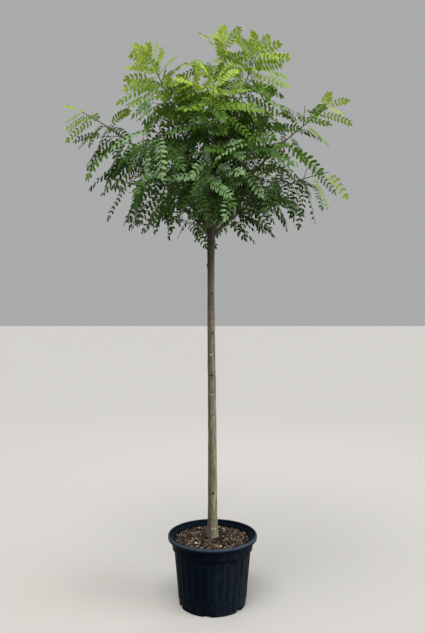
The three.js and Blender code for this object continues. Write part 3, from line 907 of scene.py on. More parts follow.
@dataclass
class Trunk:
    """The clear stem: tapering, slightly swaying, with a flared foot and a swollen head."""

    foot: float = 296.3
    top: float = 1700
    lean: float = -6.5
    sway: Pair = (1.5, 2.0)
    outline: tuple[Pair, ...] = (
        (282, 29), (296.3, 27), (308, 24.8), (334, 22.6), (391, 21.1), (626, 19.8), (996, 17.9),
        (1356, 16.2), (1546, 16.2), (1626, 17.6), (1664, 18.6), (1688, 16.4), (1700, 11.5),
    )
    flare_lobes: int = 4
    flare_depth: float = 2.4
    flare_height: float = 40
    # depth, the three edges of a lump, a number that picks the pattern, and octaves
    ridges: tuple[tuple[float, Place, int, int], ...] = (
        (0.55, (9, 9, 90), 3, 2), (0.35, (5, 5, 38), 5, 2), (0.5, (30, 30, 46), 11, 1),
    )
    wrinkles: tuple[float, Place, int] = (0.22, (14, 14, 3.2), 7)
    cracked_between: Pair = (330, 430)
    crack_width: float = 0.16
    crack_depth: float = 0.9
    columns: int = 64
    row: float = 2.0
    # height, turn, size, proud, hollow, tall and pale, as a Knot has them
    knots: tuple[tuple[float, ...], ...] = (
        (334, -4, 5, 1.6, 0.1, 1, 0.55), (334, 22, 5, 1.8, 0.1, 1, 0.55), (408, 175, 5, 1.4, 0.5),
        (442, 24, 5, 1.0, 0.25, 1, 0.6), (448, 56, 3.4, 0.4, 0.55, 6), (493, 8, 9, 1.4, 1.0, 0.6),
        (515, -8, 7, 0.7, 0.2, 0.35), (548, -150, 6, 1.0, 0.4, 0.4), (586, 12, 7, 0.5, 0.25, 0.5),
        (637, 3, 14, 0.6, 0.3, 0.14), (702, 118, 5, 1.3, 0.8), (741, -58, 7, 0.9, 0.35, 0.8),
        (766, -95, 6, 0.8, 0.3, 0.35), (843, 8, 11, 0.8, 0.4, 0.28), (905, -128, 5, 1.2, 0.9),
        (933, 0, 8, 0.9, 0.2, 0.5, 0.6), (1020, 0, 8, 1.1, 1.0, 0.7), (1096, 165, 6, 1.0, 0.3, 0.5, 0.4),
        (1112, -9, 7, 1.2, 0.1, 0.55, 1.0), (1208, 26, 7.5, 1.2, 0.9, 0.6), (1288, -112, 5, 1.2, 0.8),
        (1386, 8, 9, 1.1, 0.9, 0.5), (1450, 140, 5, 1.3, 0.9), (1513, -70, 6.5, 2.6, 0.15, 1.4),
        (1612, 10, 7, 1.2, 0.8, 1.5),
    )

    def middle(self, z: Array | float) -> Array:
        """The middle of the trunk at a height: a lean to the left in a shallow S, and a slow sway away.

        Args:
            z: heights.

        Returns:
            The places.
        """
        share = (np.asarray(z, float) - self.foot) / (self.top - self.foot)
        x = self.lean * share + self.sway[0] * np.sin(2 * np.pi * share)
        return np.stack([x, self.sway[1] * np.sin(4 * share), np.asarray(z, float)], axis=-1)

    def radius(self, z: Array) -> Array:
        """The outline's radius, smoothed by averaging the straight stretches over 16 mm."""
        heights, radii = np.array(self.outline).T
        return np.interp(z[..., None] + np.linspace(-8, 8, 9), heights, radii).mean(-1)

    def marked(self, z: Array, turn: Array, radius: Array) -> tuple[Array, Array, Array]:
        """The knots and scars, each by the distance over the bark, in times its size.

        Each is a ring that stands proud at three quarters of its size, plus a bell in the middle that is
        raised by how proud and lowered by how hollow it is. The same bell darkens it, and a wider one pales.

        Args:
            z: heights by row and column.
            turn: angles from +X.
            radius: the radius there.

        Returns:
            How far the bark stands out, how dark it is and how pale, each by row and column.
        """
        raised, dark, pale = np.zeros((3, *z.shape))
        for knot in (Knot(*row) for row in self.knots):
            around = radius * wrapped(turn + np.pi / 2 - math.radians(knot.turn))
            wobble = 1 + 0.18 * np.cos(3 * np.arctan2(z - knot.height, around) + knot.height)
            away = np.hypot(around, (z - knot.height) / knot.tall) / (knot.size * wobble)
            core = bell(away / 0.62)
            rim = knot.proud * np.exp(-((away - 0.75) ** 2) / 0.12)
            raised += rim + (0.7 * knot.proud - 1.9 * knot.hollow) * core
            dark = np.maximum(dark, np.minimum(2.6 * knot.hollow * core, 1))
            pale = np.maximum(pale, np.minimum(1.6 * knot.pale * bell(away / 0.8), 1))
        return raised, dark, pale

    def skin(self) -> Skin:
        """The bark as rings up the trunk.

        The radius is the outline's, plus lobes that die away above the foot, plus long shallow ridges, fine
        wrinkles across, the knots and, near the foot, upright cracks.

        Returns:
            The skin, marked where it is dark and where it is pale.
        """
        z_row = np.arange(self.outline[0][0], self.top + 0.1, self.row)
        z, around = np.meshgrid(z_row, circle(self.columns), indexing="ij")
        base = self.radius(z)
        flare = self.flare_depth * np.exp((self.foot - np.maximum(z, self.foot)) / self.flare_height)
        way = np.stack([np.cos(around), np.sin(around), np.zeros_like(z)], axis=-1)
        place = way * base[..., None] + z[..., None] * UP
        ridges = sum(depth * lumps(place, *pattern) for depth, *pattern in self.ridges)
        depth, *pattern = self.wrinkles
        wrinkles = depth * lumps(place, *pattern) * smooth(lumps(place, (40, 40, 60), 9) + 0.4)
        crack = np.maximum(0, 1 - np.abs(lumps(place, (5.5, 5.5, 60), 13)) / self.crack_width)
        low, high = self.cracked_between
        cracked = crack * smooth((high - z) / 90) * smooth((z - low) / 25)
        cracked = cracked * smooth(lumps(place, (18, 18, 30), 15) + 0.6)
        raised, dark, pale = self.marked(z, around, base)
        lobed = base + flare * np.cos(self.flare_lobes * around)
        radius = lobed + ridges + wrinkles + raised - self.crack_depth * cracked
        marks = {"hollow": np.maximum(dark, 0.8 * cracked)[None], "scar": pale[None]}
        return tubes((self.middle(z) + radius[..., None] * way)[None], marks)

    def build(self, finish: StemBark) -> None:
        """Makes the trunk."""
        make_piece("trunk_bark", self.skin(), [finish.make()], ["trunk"])


# The boughs


@dataclass(frozen=True)
class Course:
    """A quadratic curve, run along by shares of its length."""

    start: Array
    bend: Array
    tip: Array

    def point(self, t: Array) -> Array:
        """The curve's own points: start (1-t)^2 + bend 2t(1-t) + tip t^2."""
        t = t[..., None]
        return self.start * (1 - t) ** 2 + self.bend * 2 * t * (1 - t) + self.tip * t**2

    @cached_property
    def table(self) -> tuple[Array, Array]:
        """Where the curve is how far along.

        Returns:
            Values of the curve's own parameter, and the length up to each.
        """
        t = np.linspace(0, 1, 201)
        steps = np.linalg.norm(np.diff(self.point(t), axis=0), axis=1)
        return t, np.concatenate([[0], np.cumsum(steps)])

    @property
    def length(self) -> float:
        """The whole length."""
        return float(self.table[1][-1])

    def inner(self, share: Array) -> Array:
        """The curve's own parameter at shares of the length."""
        t, lengths = self.table
        return np.interp(np.asarray(share, float) * lengths[-1], lengths, t)

    def at(self, share: Array) -> Array:
        """Points at shares of the length."""
        return self.point(self.inner(share))

    def heading(self, share: Array) -> Array:
        """Directions at shares of the length: the curve's derivative at length 1."""
        t = self.inner(share)[..., None]
        return unit((self.bend - self.start) * (1 - t) + (self.tip - self.bend) * t)


@dataclass(frozen=True)
class Bough:
    """One row of the table of boughs: what carries it, where its shoot ends, and how its leaves differ."""

    number: int
    name: str
    carrier: str
    at: float  # the height on the trunk, or the share along the carrying bough
    azimuth: float
    reach: float  # how far out its tip is
    top: float  # how high its tip is
    lift: float  # how much steeper it leaves than the straight line to its tip, in degrees
    girth: float  # its radius at its start
    bare: float  # the share of its length without leaves
    fullness: float  # times as many leaves
    hang: float  # how much more they hang
    bright: float  # how much lighter they turn towards the tip
    bluish: float  # the share of its darker leaves that get a painted blue-green sheen of the sky
    draw: int  # which draw of the chances places its leaves
    bold: float = 0.0  # how much larger and wider its leaves stay towards the tip

    @property
    def key(self) -> int:
        """The number that its chances start from."""
        return self.number + len(BOUGHS) * self.draw


BOUGHS = [
    Bough(number, *row)
    # name, carrier, at, azimuth, reach, top, lift, girth, bare, fullness, hang, bright, painted sky sheen,
    # draw and bold
    for number, row in enumerate((
        ("leader", "trunk", 1700.3, 14, 70, 2515, 2, 10, 0.36, 1.72, -0.15, 0.65, 0.06, 62, 1),
        ("left_rise", "trunk", 1664, -164, 285, 2425, 8, 7.5, 0.36, 3.33, 0, 0.95, 0.06, 16),
        ("left_arm", "trunk", 1648, -174, 575, 2185, 18, 7.5, 0.34, 1.68, 0.25, 0.85, 0.06, 86),
        ("left_low", "trunk", 1628, -154, 420, 1850, 26, 6.5, 0.28, 0.56, 0.55, 0.15, 0.1, 92),
        ("right_arm", "trunk", 1656, -3, 525, 2215, 14, 8, 0.36, 1.08, -0.1, 0.95, 0.06, 93),
        ("right_low", "trunk", 1634, -8, 520, 1915, 20, 7, 0.34, 0.63, 0.1, 1.15, 0.06, 74, 1),
        ("front_rise", "trunk", 1660, -88, 280, 2235, 10, 7.5, 0.36, 1.7, -0.15, 1.15, 0.06, 51, 1),
        ("back_rise", "trunk", 1646, 98, 390, 2120, 16, 7.5, 0.34, 1.1, -0.15, 0.6, 0.06, 70, 1),
        ("top_right", "leader", 0.2, -16, 215, 2445, 6, 6, 0.34, 3.9, 0.05, 0.6, 0.06, 56, 1),
        ("top_back", "leader", 0.27, 118, 150, 2355, 6, 5, 0.32, 2.6, -0.3, 0.5, 0.06, 83, 1),
        ("left_back", "left_rise", 0.14, 134, 420, 2170, 14, 5.5, 0.32, 1.08, 0.3, 0.75, 0.06, 79, 1),
        ("left_mid", "left_arm", 0.16, 168, 460, 1990, 16, 5.5, 0.3, 0.56, 0, 0.15, 0.06, 53, 1),
        ("low_back_left", "left_low", 0.14, 130, 390, 1850, 20, 5, 0.26, 0.49, 0.3, 0.6, 0.06, 41),
        ("front_left", "front_rise", 0.16, -124, 430, 2030, 16, 5.5, 0.3, 0.77, 0.3, 0.15, 0.45, 20, 1),
        ("front_right", "front_rise", 0.1, -58, 430, 1990, 18, 5.5, 0.28, 0.51, -0.3, 0.15, 0.2, 33),
        ("low_front", "front_rise", 0.05, -94, 430, 1830, 26, 5, 0.24, 0.39, 0, 0.15, 0.1, 45),
        ("right_mid", "right_arm", 0.16, 24, 430, 2050, 16, 5.5, 0.3, 0.31, 0.15, 1.2, 0.06, 42, 1),
        ("right_back", "right_arm", 0.26, 54, 410, 2200, 8, 5, 0.3, 0.68, 0.45, 1.1, 0.06, 7),
        ("low_front_right", "right_low", 0.15, -38, 420, 1820, 20, 5, 0.26, 0.42, 0.3, 0.15, 0.12, 58),
        ("low_back_right", "back_rise", 0.1, 42, 400, 1850, 20, 5, 0.26, 0.55, -0.3, 0.6, 0.06, 79),
        ("low_back", "back_rise", 0.17, 86, 420, 1860, 14, 5, 0.26, 0.42, -0.3, 0.6, 0.06, 99),
    ))
]


@dataclass
class Boughs:
    """The limbs from the trunk to the shoot tips, on the same courses as the solids."""

    trunk: Trunk
    steepest: float = 87
    tip_radius: float = 1.5
    collar: float = 0.5  # how much thicker a limb is right at its start
    collar_length: float = 22
    taper: float = 0.8  # below 1 thins a limb more at its start
    lump: Pair = (13, 0.10)  # how wide the lumps are, and how high against the radius
    lumps_end: Pair = (0.2, 0.8)  # the shares of a limb that they die away between
    young_between: Pair = (0.25, 0.75)  # the shares that the bark turns young between
    columns: int = 12
    step: float = 5

    @cached_property
    def courses(self) -> dict[str, Course]:
        """Each shoot's course: it leaves steeper than the straight line to its tip, and bends over.

        Returns:
            The courses by name.
        """
        found: dict[str, Course] = {}
        for bough in BOUGHS:
            carried = bough.carrier != "trunk"
            start = found[bough.carrier].at(np.array(bough.at)) if carried else self.trunk.middle(bough.at)
            azimuth = math.radians(bough.azimuth)
            way = np.array([math.cos(azimuth), math.sin(azimuth), 0.0])
            tip = self.trunk.middle(self.trunk.top) * [1, 1, 0] + bough.reach * way + bough.top * UP
            chord = tip - start
            across = math.hypot(chord[0], chord[1])
            steep = min(math.atan2(chord[2], across) + math.radians(bough.lift), math.radians(self.steepest))
            heading = unit(np.array([chord[0] / across, chord[1] / across, math.tan(steep)]))
            found[bough.name] = Course(start, start + heading * np.linalg.norm(chord) / 2, tip)
        return found

    def skin(self) -> Skin:
        """All limbs: radius from the girth to the tip, thicker at the start, with long shallow lumps.

        Returns:
            The skin, marked where the bark is young.
        """
        skins = []
        (wide, high), (young_from, young_to), (fades, ends) = self.lump, self.young_between, self.lumps_end
        for bough in BOUGHS:
            course = self.courses[bough.name]
            share = np.linspace(0, 1, int(course.length / self.step))
            line = course.at(share)[None], course.heading(share)[None]
            thick = lerp(bough.girth, self.tip_radius, share**self.taper)
            thick = thick * (1 + self.collar * np.exp(-share * course.length / self.collar_length))
            even = limbs(*line, thick[None], self.columns)
            fading = smooth((ends - share) / (ends - fades))[:, None]
            rough = 1 + high * lumps(even, wide, 200 + bough.number, 2) * fading
            rings = limbs(*line, thick[None, :, None] * rough, self.columns)
            young = smooth((share - young_from) / (young_to - young_from))
            skins.append(tubes(rings, {"young": young[None]}))
        return joined(skins)

    def build(self, finish: Material) -> None:
        """Makes the limbs."""
        solids = [f"bough_{bough.name}" for bough in BOUGHS]
        make_piece("bough_limbs", self.skin(), [finish], solids)


# The leaves


@dataclass
class Sprays:
    """Leaves as arrays, one row each."""

    root: Array
    direction: Array
    size: Array
    droop: Array
    roll: Array
    tone: Array
    seed: Array

    def pick(self, which: Array) -> "Sprays":
        """The leaves that a mask or a list of numbers picks."""
        return Sprays(*(values[which] for values in vars(self).values()))

    @staticmethod
    def gather(parts: list["Sprays"]) -> "Sprays":
        """All leaves of several groups."""
        return Sprays(*(np.concatenate(column) for column in zip(*(vars(part).values() for part in parts))))


@dataclass(frozen=True)
class LeafForm:
    """A pinnate leaf: pairs of leaflets and one at the end, on a thin rib."""

    length: float = 215
    stalk: float = 38
    pairs: int = 8
    terminal: float = 31
    longest: float = 33
    shortest: float = 0.72  # the first pair's length over the longest
    bulk: Pair = (1.7, 2.2)  # how early the pairs are longest, and how long they stay so
    last_gap: float = 6  # between the last pair and the leaflet at the end
    forward: Pair = (66, 50)  # degrees between leaflet and rib, first pair and last
    half_width: float = 0.22
    thickness: float = 0.55
    fold: float = 0.22
    curl: float = 0.10
    wag: Pair = (-7, 7)  # how far leaflets swing off their angle, in degrees
    nod: Pair = (-0.26, 0.10)  # how far they hang or rise, against their length
    twist: Pair = (-16, 16)  # how far they turn about their own axis, in degrees
    tilt: float = 10  # how far their forward edges are raised, in degrees
    vary: Pair = (0.9, 1.08)
    rib_radius: Pair = (1.25, 0.5)
    stations: tuple[float, ...] = (0.0, 0.13, 0.38, 0.66, 0.88, 1.0)
    widths: tuple[float, ...] = (0.0, 0.66, 1.0, 0.93, 0.55, 0.0)

    def along_rib(self, leaves: Sprays, along: Array) -> tuple[Array, Array, Array, Array]:
        """The rib of each leaf at distances from its root.

        The rib is root + size (direction a - droop a^2 / length up). Its side is the level direction
        square to its heading, turned by the roll about the heading, and its face is side x heading.

        Args:
            leaves: the leaves.
            along: distances of a full-size leaf.

        Returns:
            Points, headings, sides and faces, by leaf and distance.
        """
        t, droop = (along / self.length)[:, None], leaves.droop[:, None, None]
        direction = leaves.direction[:, None]
        heading = unit(direction - 2 * droop * t * UP)
        side = spun(heading, level(heading), leaves.roll[:, None])
        offset = direction * along[:, None] - droop * t * along[:, None] * UP
        point = leaves.root[:, None] + leaves.size[:, None, None] * offset
        return point, heading, side, np.cross(side, heading)

    def rib_skin(self, leaves: Sprays) -> Skin:
        """The ribs as three-sided tubes that taper to the last leaflet.

        Args:
            leaves: the leaves.

        Returns:
            The skin.
        """
        along = np.linspace(-2, self.length - 0.8 * self.terminal, 9)
        point, heading, side, _ = self.along_rib(leaves, along)
        radii = np.linspace(*self.rib_radius, 9) * np.sqrt(leaves.size)[:, None]
        return tubes(limbs(point, heading, radii, 3, side))

    def leaflet_skin(self, leaves: Sprays) -> Skin:
        """The leaflets of all leaves.

        A leaflet's point at share s of its length and c across, from -1 to 1, is base + length (axis s +
        across c w(s) + normal (fold |c| w(s) - curl s^2)), where w is the half width there. Its mid points
        lie half the thickness over and under that.

        Args:
            leaves: the leaves.

        Returns:
            The skin, with tone 0 over and 1 under.
        """
        pair = np.arange(self.pairs)
        pitch = (self.length - self.terminal - self.stalk - self.last_gap) / (self.pairs - 1)
        early, long_lived = self.bulk
        bulk = 1 - (1 - self.shortest) * np.abs(pair / (self.pairs - 1) * early - 1) ** long_lived
        along = np.append(np.repeat(self.stalk + pitch * pair, 2), self.length - self.terminal)
        long = np.append(np.repeat(self.longest * bulk, 2), self.terminal)
        forward = np.radians(np.append(np.repeat(np.linspace(*self.forward, self.pairs), 2), 0))
        hand = np.append(np.tile([1.0, -1.0], self.pairs), 0.0)
        point, heading, side, face = self.along_rib(leaves, along)
        keys = leaves.seed[:, None], np.arange(len(along))
        swung = forward + np.radians(between(*self.wag, *keys, 1))
        axis = heading * np.cos(swung)[..., None] + side * (np.sin(swung) * hand)[..., None]
        axis = unit(axis + face * between(*self.nod, *keys, 2)[..., None])
        twist = np.radians(between(*self.twist, *keys, 3) + self.tilt * hand)
        across = spun(axis, unit(np.cross(face, axis)), twist)
        normal = np.cross(axis, across)
        reach = long * leaves.size[:, None] * between(*self.vary, *keys, 4)
        s, c, layer = self.leaflet_plan()
        width = self.half_width * np.interp(s, self.stations, self.widths)
        lifted = self.fold * np.abs(c) * width - self.curl * s**2
        local = axis[..., None, :] * s[:, None] + across[..., None, :] * (c * width)[:, None]
        local = local + normal[..., None, :] * lifted[:, None]
        thick = self.thickness / 2 * np.sqrt(leaves.size)[:, None, None, None]
        places = point[..., None, :] + reach[..., None, None] * local
        places = places + thick * normal[..., None, :] * layer[:, None]
        faces, count = self.leaflet_faces(), leaves.size.size * len(along)
        start = len(s) * np.arange(count)[:, None, None]
        return Skin(
            places.reshape(-1, 3),
            *((start + corners).reshape(-1, corners.shape[1]) for corners in faces),
            *(np.tile(np.repeat([0, 1], len(corners) // 2), count) for corners in faces),
        )

    def leaflet_plan(self) -> tuple[Array, Array, Array]:
        """A leaflet's points: root, left edge, right edge, middle over, middle under, tip.

        Returns:
            Each point's share of the length, its place across and its layer.
        """
        inner, n = self.stations[1:-1], len(self.stations) - 2
        across = np.repeat([0, 1, -1, 0, 0, 0], [1, n, n, n, n, 1])
        layer = np.repeat([0, 0, 0, 1, -1, 0], [1, n, n, n, n, 1])
        return np.array([0.0, *inner * 4, 1.0]), across, layer

    def leaflet_faces(self) -> tuple[Array, Array]:
        """A leaflet's faces, those over first: quads between stations, triangles at root and tip.

        Returns:
            The quads and the triangles.
        """
        n = len(self.stations) - 2
        left, right, over, under = (1 + n * i + np.arange(n) for i in range(4))
        root, tip = 0, 1 + 4 * n
        quads, triangles = [], []
        for middle, flip in ((over, 1), (under, -1)):
            for near, far in ((middle, right), (left, middle)):
                quads.append(np.stack([near[:-1], far[:-1], far[1:], near[1:]], axis=1)[:, ::flip])
            ends = [[root, right[0], middle[0]], [root, middle[0], left[0]]]
            ends += [[middle[-1], right[-1], tip], [left[-1], middle[-1], tip]]
            triangles.append(np.array(ends)[:, ::flip])
        return np.concatenate(quads), np.concatenate(triangles)

    def keep_edges_sharp(self, piece: bpy.types.Object) -> None:
        """Keeps the rim of each leaflet sharp, so its two sides shade as flat blades.

        Args:
            piece: an object made from leaflet_skin.
        """
        layer, edges = self.leaflet_plan()[2], piece.data.edges
        ends = np.zeros(2 * len(edges), np.int32)
        edges.foreach_get("vertices", ends)
        edges.foreach_set("use_edge_sharp", (layer == 0)[ends.reshape(-1, 2) % len(layer)].all(axis=1))


@dataclass
class Crown:
    """The shoots' leaves and side twigs, each shoot's kept to its own space, as in the source."""

    boughs: Boughs
    form: LeafForm = LeafForm()
    young_form: LeafForm = LeafForm(
        stalk=42, pairs=5, terminal=46, longest=45, half_width=0.25, thickness=0.5
    )
    young_size: float = 0.68  # leaves smaller than this take the young form
    # where leaves may be
    site: float = 0.7  # the share along a bough where its space has its middle
    margin: float = 95  # how far leaves may pass the border of their shoot's space
    outline: tuple[Pair, ...] = (
        (1590, 160), (1640, 440), (1700, 555), (1790, 640), (1900, 660), (2250, 660),
        (2330, 540), (2470, 500), (2540, 400), (2625, 170),
    )
    clear: float = 40  # how far leaves stay off the middle of the trunk
    middle: Place = (0, 0, 1950)  # blades face away from here
    # how they stand along a shoot
    spacing: float = 27
    along: Pair = (0.04, 0.99)
    inner_below: float = 2140  # shoots that end lower than this carry leaves on the bare limb too
    inner_from: float = -0.2
    crowding: float = 1.2  # how much closer together the leaves stand towards the tip
    # degrees between leaf and stem along the shoot and at its very tip, on plain shoots and on bold ones
    spread: tuple[Pair, Pair] = ((74, 20), (86, 32))
    spread_power: float = 8
    droop: Pair = (0.44, 0.26)  # on a level stem and on an upright one
    sag: float = 0.5  # how far whole leaves point down at the crown's lower edge
    sag_between: Pair = (2400, 1800)  # the heights where this starts and is full
    sag_vary: Pair = (0.6, 1.4)
    droop_vary: Pair = (0.8, 1.2)
    flatten: Pair = (0.25, 0.45)  # how far leaves off a level stem still point down, or up
    size_at_base: float = 0.92
    size_at_tip: Pair = (0.46, 0.52)  # on plain shoots and on bold ones
    full_at: float = 0.3
    fall_power: Pair = (4.5, 10)
    vary: Pair = (0.86, 1.1)
    turn: float = 137.5  # degrees from each leaf to the next about the stem
    retry: float = 97  # degrees further round for each try
    wander: float = 26  # degrees that chance adds
    roll: Pair = (24, 64)  # degrees that a blade tips away from level
    facing: Pair = (0.4, 0.3)  # the share of a leaf that its side is judged at, and the part that chance has
    probes: tuple[float, ...] = (0.5, 0.8, 1.0)  # the shares of a leaf's length that are tested for room
    probe_reach: float = 0.8  # how far to each side they are tested, against the longest leaflet
    tip_from: float = 0.97  # leaves from this share of a stem on may pass into another shoot's space
    tries: int = 10
    most_leaves: int = 300  # in one piece
    fresh_above: float = 2150  # masses of shoots that end higher than this have the fresh slot
    # how light they are
    tones: tuple[float, ...] = (0.22, 0.46, 0.74, 1.0, 1.28)  # where each next tone starts
    young_from: int = 3  # the first of the young tones
    # the height that they get lighter from, younger and with painted light from above, the rise that this
    # takes, and how much
    higher: tuple[tuple[float, ...], ...] = ((1750, 400, 0.15), (2020, 300, 0.80))
    outer: Pair = (600, 0.15)  # how far out they are lightest, and how much
    # painted light and shade at the right: a height about which they are lighter and one about which they are
    # darker, each with its reach and how much
    bands: tuple[tuple[float, ...], ...] = ((2030, 95, 0.38), (2265, 75, 0.42))
    rightmost: float = 280  # how far to the right these are full
    luck: float = 0.42  # how much chance changes a leaf's tone
    dark_rib: Colour = (0.07, 0.12, 0.03)
    light_rib: Colour = (0.24, 0.36, 0.07)
    # the side twigs
    twig_pitch: float = 56  # along the shoot
    twig_along: Pair = (-0.34, 0.72)  # shares of the leafy part; below 0 is on the bare limb
    twig_length: Pair = (165, 80)
    twig_spread: float = 50
    twig_rise: float = 12
    twig_radius: Pair = (2.2, 0.9)
    twig_leaves_from: float = 0.28
    twig_leaf_size: Pair = (0.95, 0.62)
    twig_age: Pair = (0.7, 0.25)  # how young its leaves are by the shoot's own age, and by their place on it
    twig_vary: Pair = (0.85, 1.1)
    twig_spacing: float = 34

    @cached_property
    def sites(self) -> Array:
        """The middle of each shoot's space."""
        return np.array([course.at(np.array(self.site)) for course in self.boughs.courses.values()])

    def leaf_size(self, share: Array, bold: float) -> Array:
        """A leaf's size by its place on the shoot: full in the middle, small and young at the tip.

        Args:
            share: places from 0 to 1, or less on the bare limb.
            bold: how bold the shoot is.

        Returns:
            The sizes.
        """
        rising = lerp(self.size_at_base, 1, np.clip(share / self.full_at, 0, 1))
        falling = np.clip(share, 0, 1) ** lerp(*self.fall_power, bold)
        return rising * lerp(1, lerp(*self.size_at_tip, bold), falling)

    def owned(self, bough: Bough, points: Array) -> Array:
        """Which points lie in a shoot's own space, which ends half-way between its site and each other one.

        Args:
            bough: the shoot's bough.
            points: places, with the coordinates last.

        Returns:
            True or False for each point.
        """
        site, others = self.sites[bough.number], np.delete(self.sites, bough.number, axis=0)
        way = unit(others - site)
        return np.all(points @ way.T < np.sum(way * (others + site) / 2, axis=1) + self.margin, axis=-1)

    def within(self, points: Array) -> Array:
        """Which points lie within the crown's outline and off the trunk.

        Args:
            points: places, with the coordinates last.

        Returns:
            True or False for each point.
        """
        heights, reaches = np.array(self.outline).T
        out, z = np.hypot(points[..., 0], points[..., 1]), points[..., 2]
        inside = out < np.interp(z, heights, reaches, left=0, right=0)
        return inside & ((out > self.clear) | (z > self.boughs.trunk.top))

    def outward(self, tangent: Array, angle: Array) -> Array:
        """Directions square to a stem at angles round it, none straight up or down off a level stem.

        Args:
            tangent: the stem's direction.
            angle: the angles in radians.

        Returns:
            The directions.
        """
        out = spun(tangent, level(tangent), -angle)
        down, up = self.flatten
        out[..., 2] *= lerp(np.where(out[..., 2] < 0, down, up), 1, np.abs(tangent[..., 2]) ** 2)
        return unit(out)

    def leaves(
        self, bough: Bough, course: Course, share: Array, order: Array, size: Array, young: Array
    ) -> Sprays:
        """Leaves at shares of a course, each turned further round until it fits, or left out.

        Args:
            bough: the shoot's bough.
            course: the stem or twig that carries them.
            share: where each leaf stands.
            order: each leaf's whole number, which fixes its chances.
            size: each leaf's size.
            young: how near each is to the shoot's tip, from 0 to 1.

        Returns:
            The leaves that fit.
        """
        key, count, tries = bough.key, len(share), self.tries
        root, heading = course.at(share), course.heading(share)
        along, at_end = lerp(*np.array(self.spread), bough.bold)
        spread = np.radians(lerp(along, at_end, share**self.spread_power))[:, None, None]
        sag_from, sag_to = self.sag_between
        sag = self.sag * smooth((sag_from - root[:, 2]) / (sag_from - sag_to)) + bough.hang
        sag = (sag * between(*self.sag_vary, key, order, 8))[:, None, None]
        droop = lerp(*self.droop, heading[:, 2] ** 2) * between(*self.droop_vary, key, order, 3)
        roll = np.radians(between(*self.roll, key, order, 1))
        attempt = np.arange(tries)
        wander = self.wander * chance(key, order[:, None], 2, attempt) + 360 * chance(key, 11)
        around = np.radians(self.turn * order[:, None] + self.retry * attempt + wander)
        tangent = np.repeat(heading[:, None], tries, axis=1)
        direction = tangent * np.cos(spread) + self.outward(tangent, around) * np.sin(spread)
        direction = unit(direction - sag * UP)
        judged, chanced = self.facing
        outwards = (root - self.middle)[:, None] + judged * self.form.length * direction
        facing = np.sum(np.cross(direction, UP) * unit(outwards), axis=-1)
        guess = between(-1, 1, key, order, 5)[:, None]
        hand = np.where(facing + chanced * guess < 0, -1.0, 1.0)
        root, size, droop, number, at_tip = (
            np.repeat(values, tries, axis=0) for values in (root, size, droop, order, share > self.tip_from)
        )
        rolled = (hand * roll[:, None]).ravel()
        every = Sprays(root, direction.reshape(-1, 3), size, droop, rolled, 0 * number, number)
        rib, _, side, _ = self.form.along_rib(every, self.form.length * np.array(self.probes))
        reach = (self.probe_reach * self.form.longest * side * size[:, None, None])[:, :2]
        probes = np.concatenate([rib, rib[:, :2] + reach, rib[:, :2] - reach], axis=1)
        fits = self.within(probes) & (self.owned(bough, probes) | at_tip[:, None])
        fits = fits.all(axis=1).reshape(count, tries)
        chosen = np.argmax(fits, axis=1) + tries * np.arange(count)
        picked = every.pick(chosen)
        picked.tone = self.tone_of(bough, order, rib[chosen, 0], young)
        picked.seed = 1000 * bough.number + order
        return picked.pick(fits.any(axis=1))

    def tone_of(self, bough: Bough, order: Array, middle: Array, young: Array) -> Array:
        """Each leaf's tone: lighter high in the crown, younger and with painted light from above, near a
        shoot's tip and far out, with painted light and shade at the right, and with some chance.

        Args:
            bough: the shoot's bough.
            order: the leaves' whole numbers.
            middle: the middle of each leaf.
            young: how near each is to the shoot's tip.

        Returns:
            The number of each leaf's tone, from the deepest to the lightest, or the last for a leaf with a
            painted sky sheen.
        """
        x, y, z = middle.T
        (low, long_rise, some), (top, rise, more) = self.higher
        high = some * np.clip((z - low) / long_rise, 0, 1) + more * smooth((z - top) / rise)
        # painted light and shade on the crown's right side
        lit, dim = (much * bell((z - height) / reach) for height, reach, much in self.bands)
        side = np.clip(x / self.rightmost, 0, 1) * (lit - dim)
        out = self.outer[1] * np.clip(np.hypot(x, y) / self.outer[0], 0, 1) ** 2
        luck = self.luck * (chance(bough.number, order, 6) - 0.5)
        light = bough.bright * young**3 + high + side + out + luck
        tone = np.searchsorted(self.tones, light)
        # a painted blue-green sheen of the sky on some darker leaves
        sky_sheened = (chance(bough.number, order, 9) < bough.bluish) & (tone < self.young_from)
        return np.where(sky_sheened, len(self.tones) + 1, tone)

    def shoot(self, bough: Bough) -> tuple[Sprays, list[Skin]]:
        """Grows one shoot.

        Args:
            bough: the shoot's bough.

        Returns:
            The leaves on its stem and twigs, and the twigs' skins.
        """
        course, key = self.boughs.courses[bough.name], bough.key
        bare = bough.bare + GAP / course.length
        leafy = (1 - bare) * course.length
        first, last = self.along
        first = self.inner_from if bough.top < self.inner_below else first
        count = round((last - first) * leafy * bough.fullness / self.spacing)
        place = lerp(first, last, 1 - (1 - np.arange(count) / (count - 1)) ** self.crowding)
        order = np.arange(count) + bough.number
        size = self.leaf_size(place, bough.bold) * between(*self.vary, key, order, 4)
        sprays = [self.leaves(bough, course, bare + (1 - bare) * place, order, size, place)]
        twigs = self.twigs(bough, course, bare, leafy)
        for number, twig, start in twigs:
            share = np.arange(self.twig_leaves_from, 1.001, self.twig_spacing / twig.length)
            turns = 100 * (number + 1) + np.arange(len(share))
            small = lerp(*self.twig_leaf_size, share**2) * between(*self.vary, key, turns, 4)
            young = np.clip(start, 0, 1) * self.twig_age[0] * share + self.twig_age[1] * share**2
            sprays.append(self.leaves(bough, twig, share, turns, small, young))
        return Sprays.gather(sprays), [self.twig_skin(twig) for _, twig, _ in twigs]

    def twig_skin(self, twig: Course) -> Skin:
        """One twig as a thin six-sided tube that starts inside its shoot.

        Args:
            twig: its course.

        Returns:
            The skin, marked where the bark is young.
        """
        ring = np.linspace(-0.02, 1, 9)
        line = twig.at(np.clip(ring, 0, 1))[None], twig.heading(ring)[None]
        rings = limbs(*line, np.linspace(*self.twig_radius, 9)[None], 6)
        return tubes(rings, {"young": np.linspace(0.3, 1.0, 9)[None]})

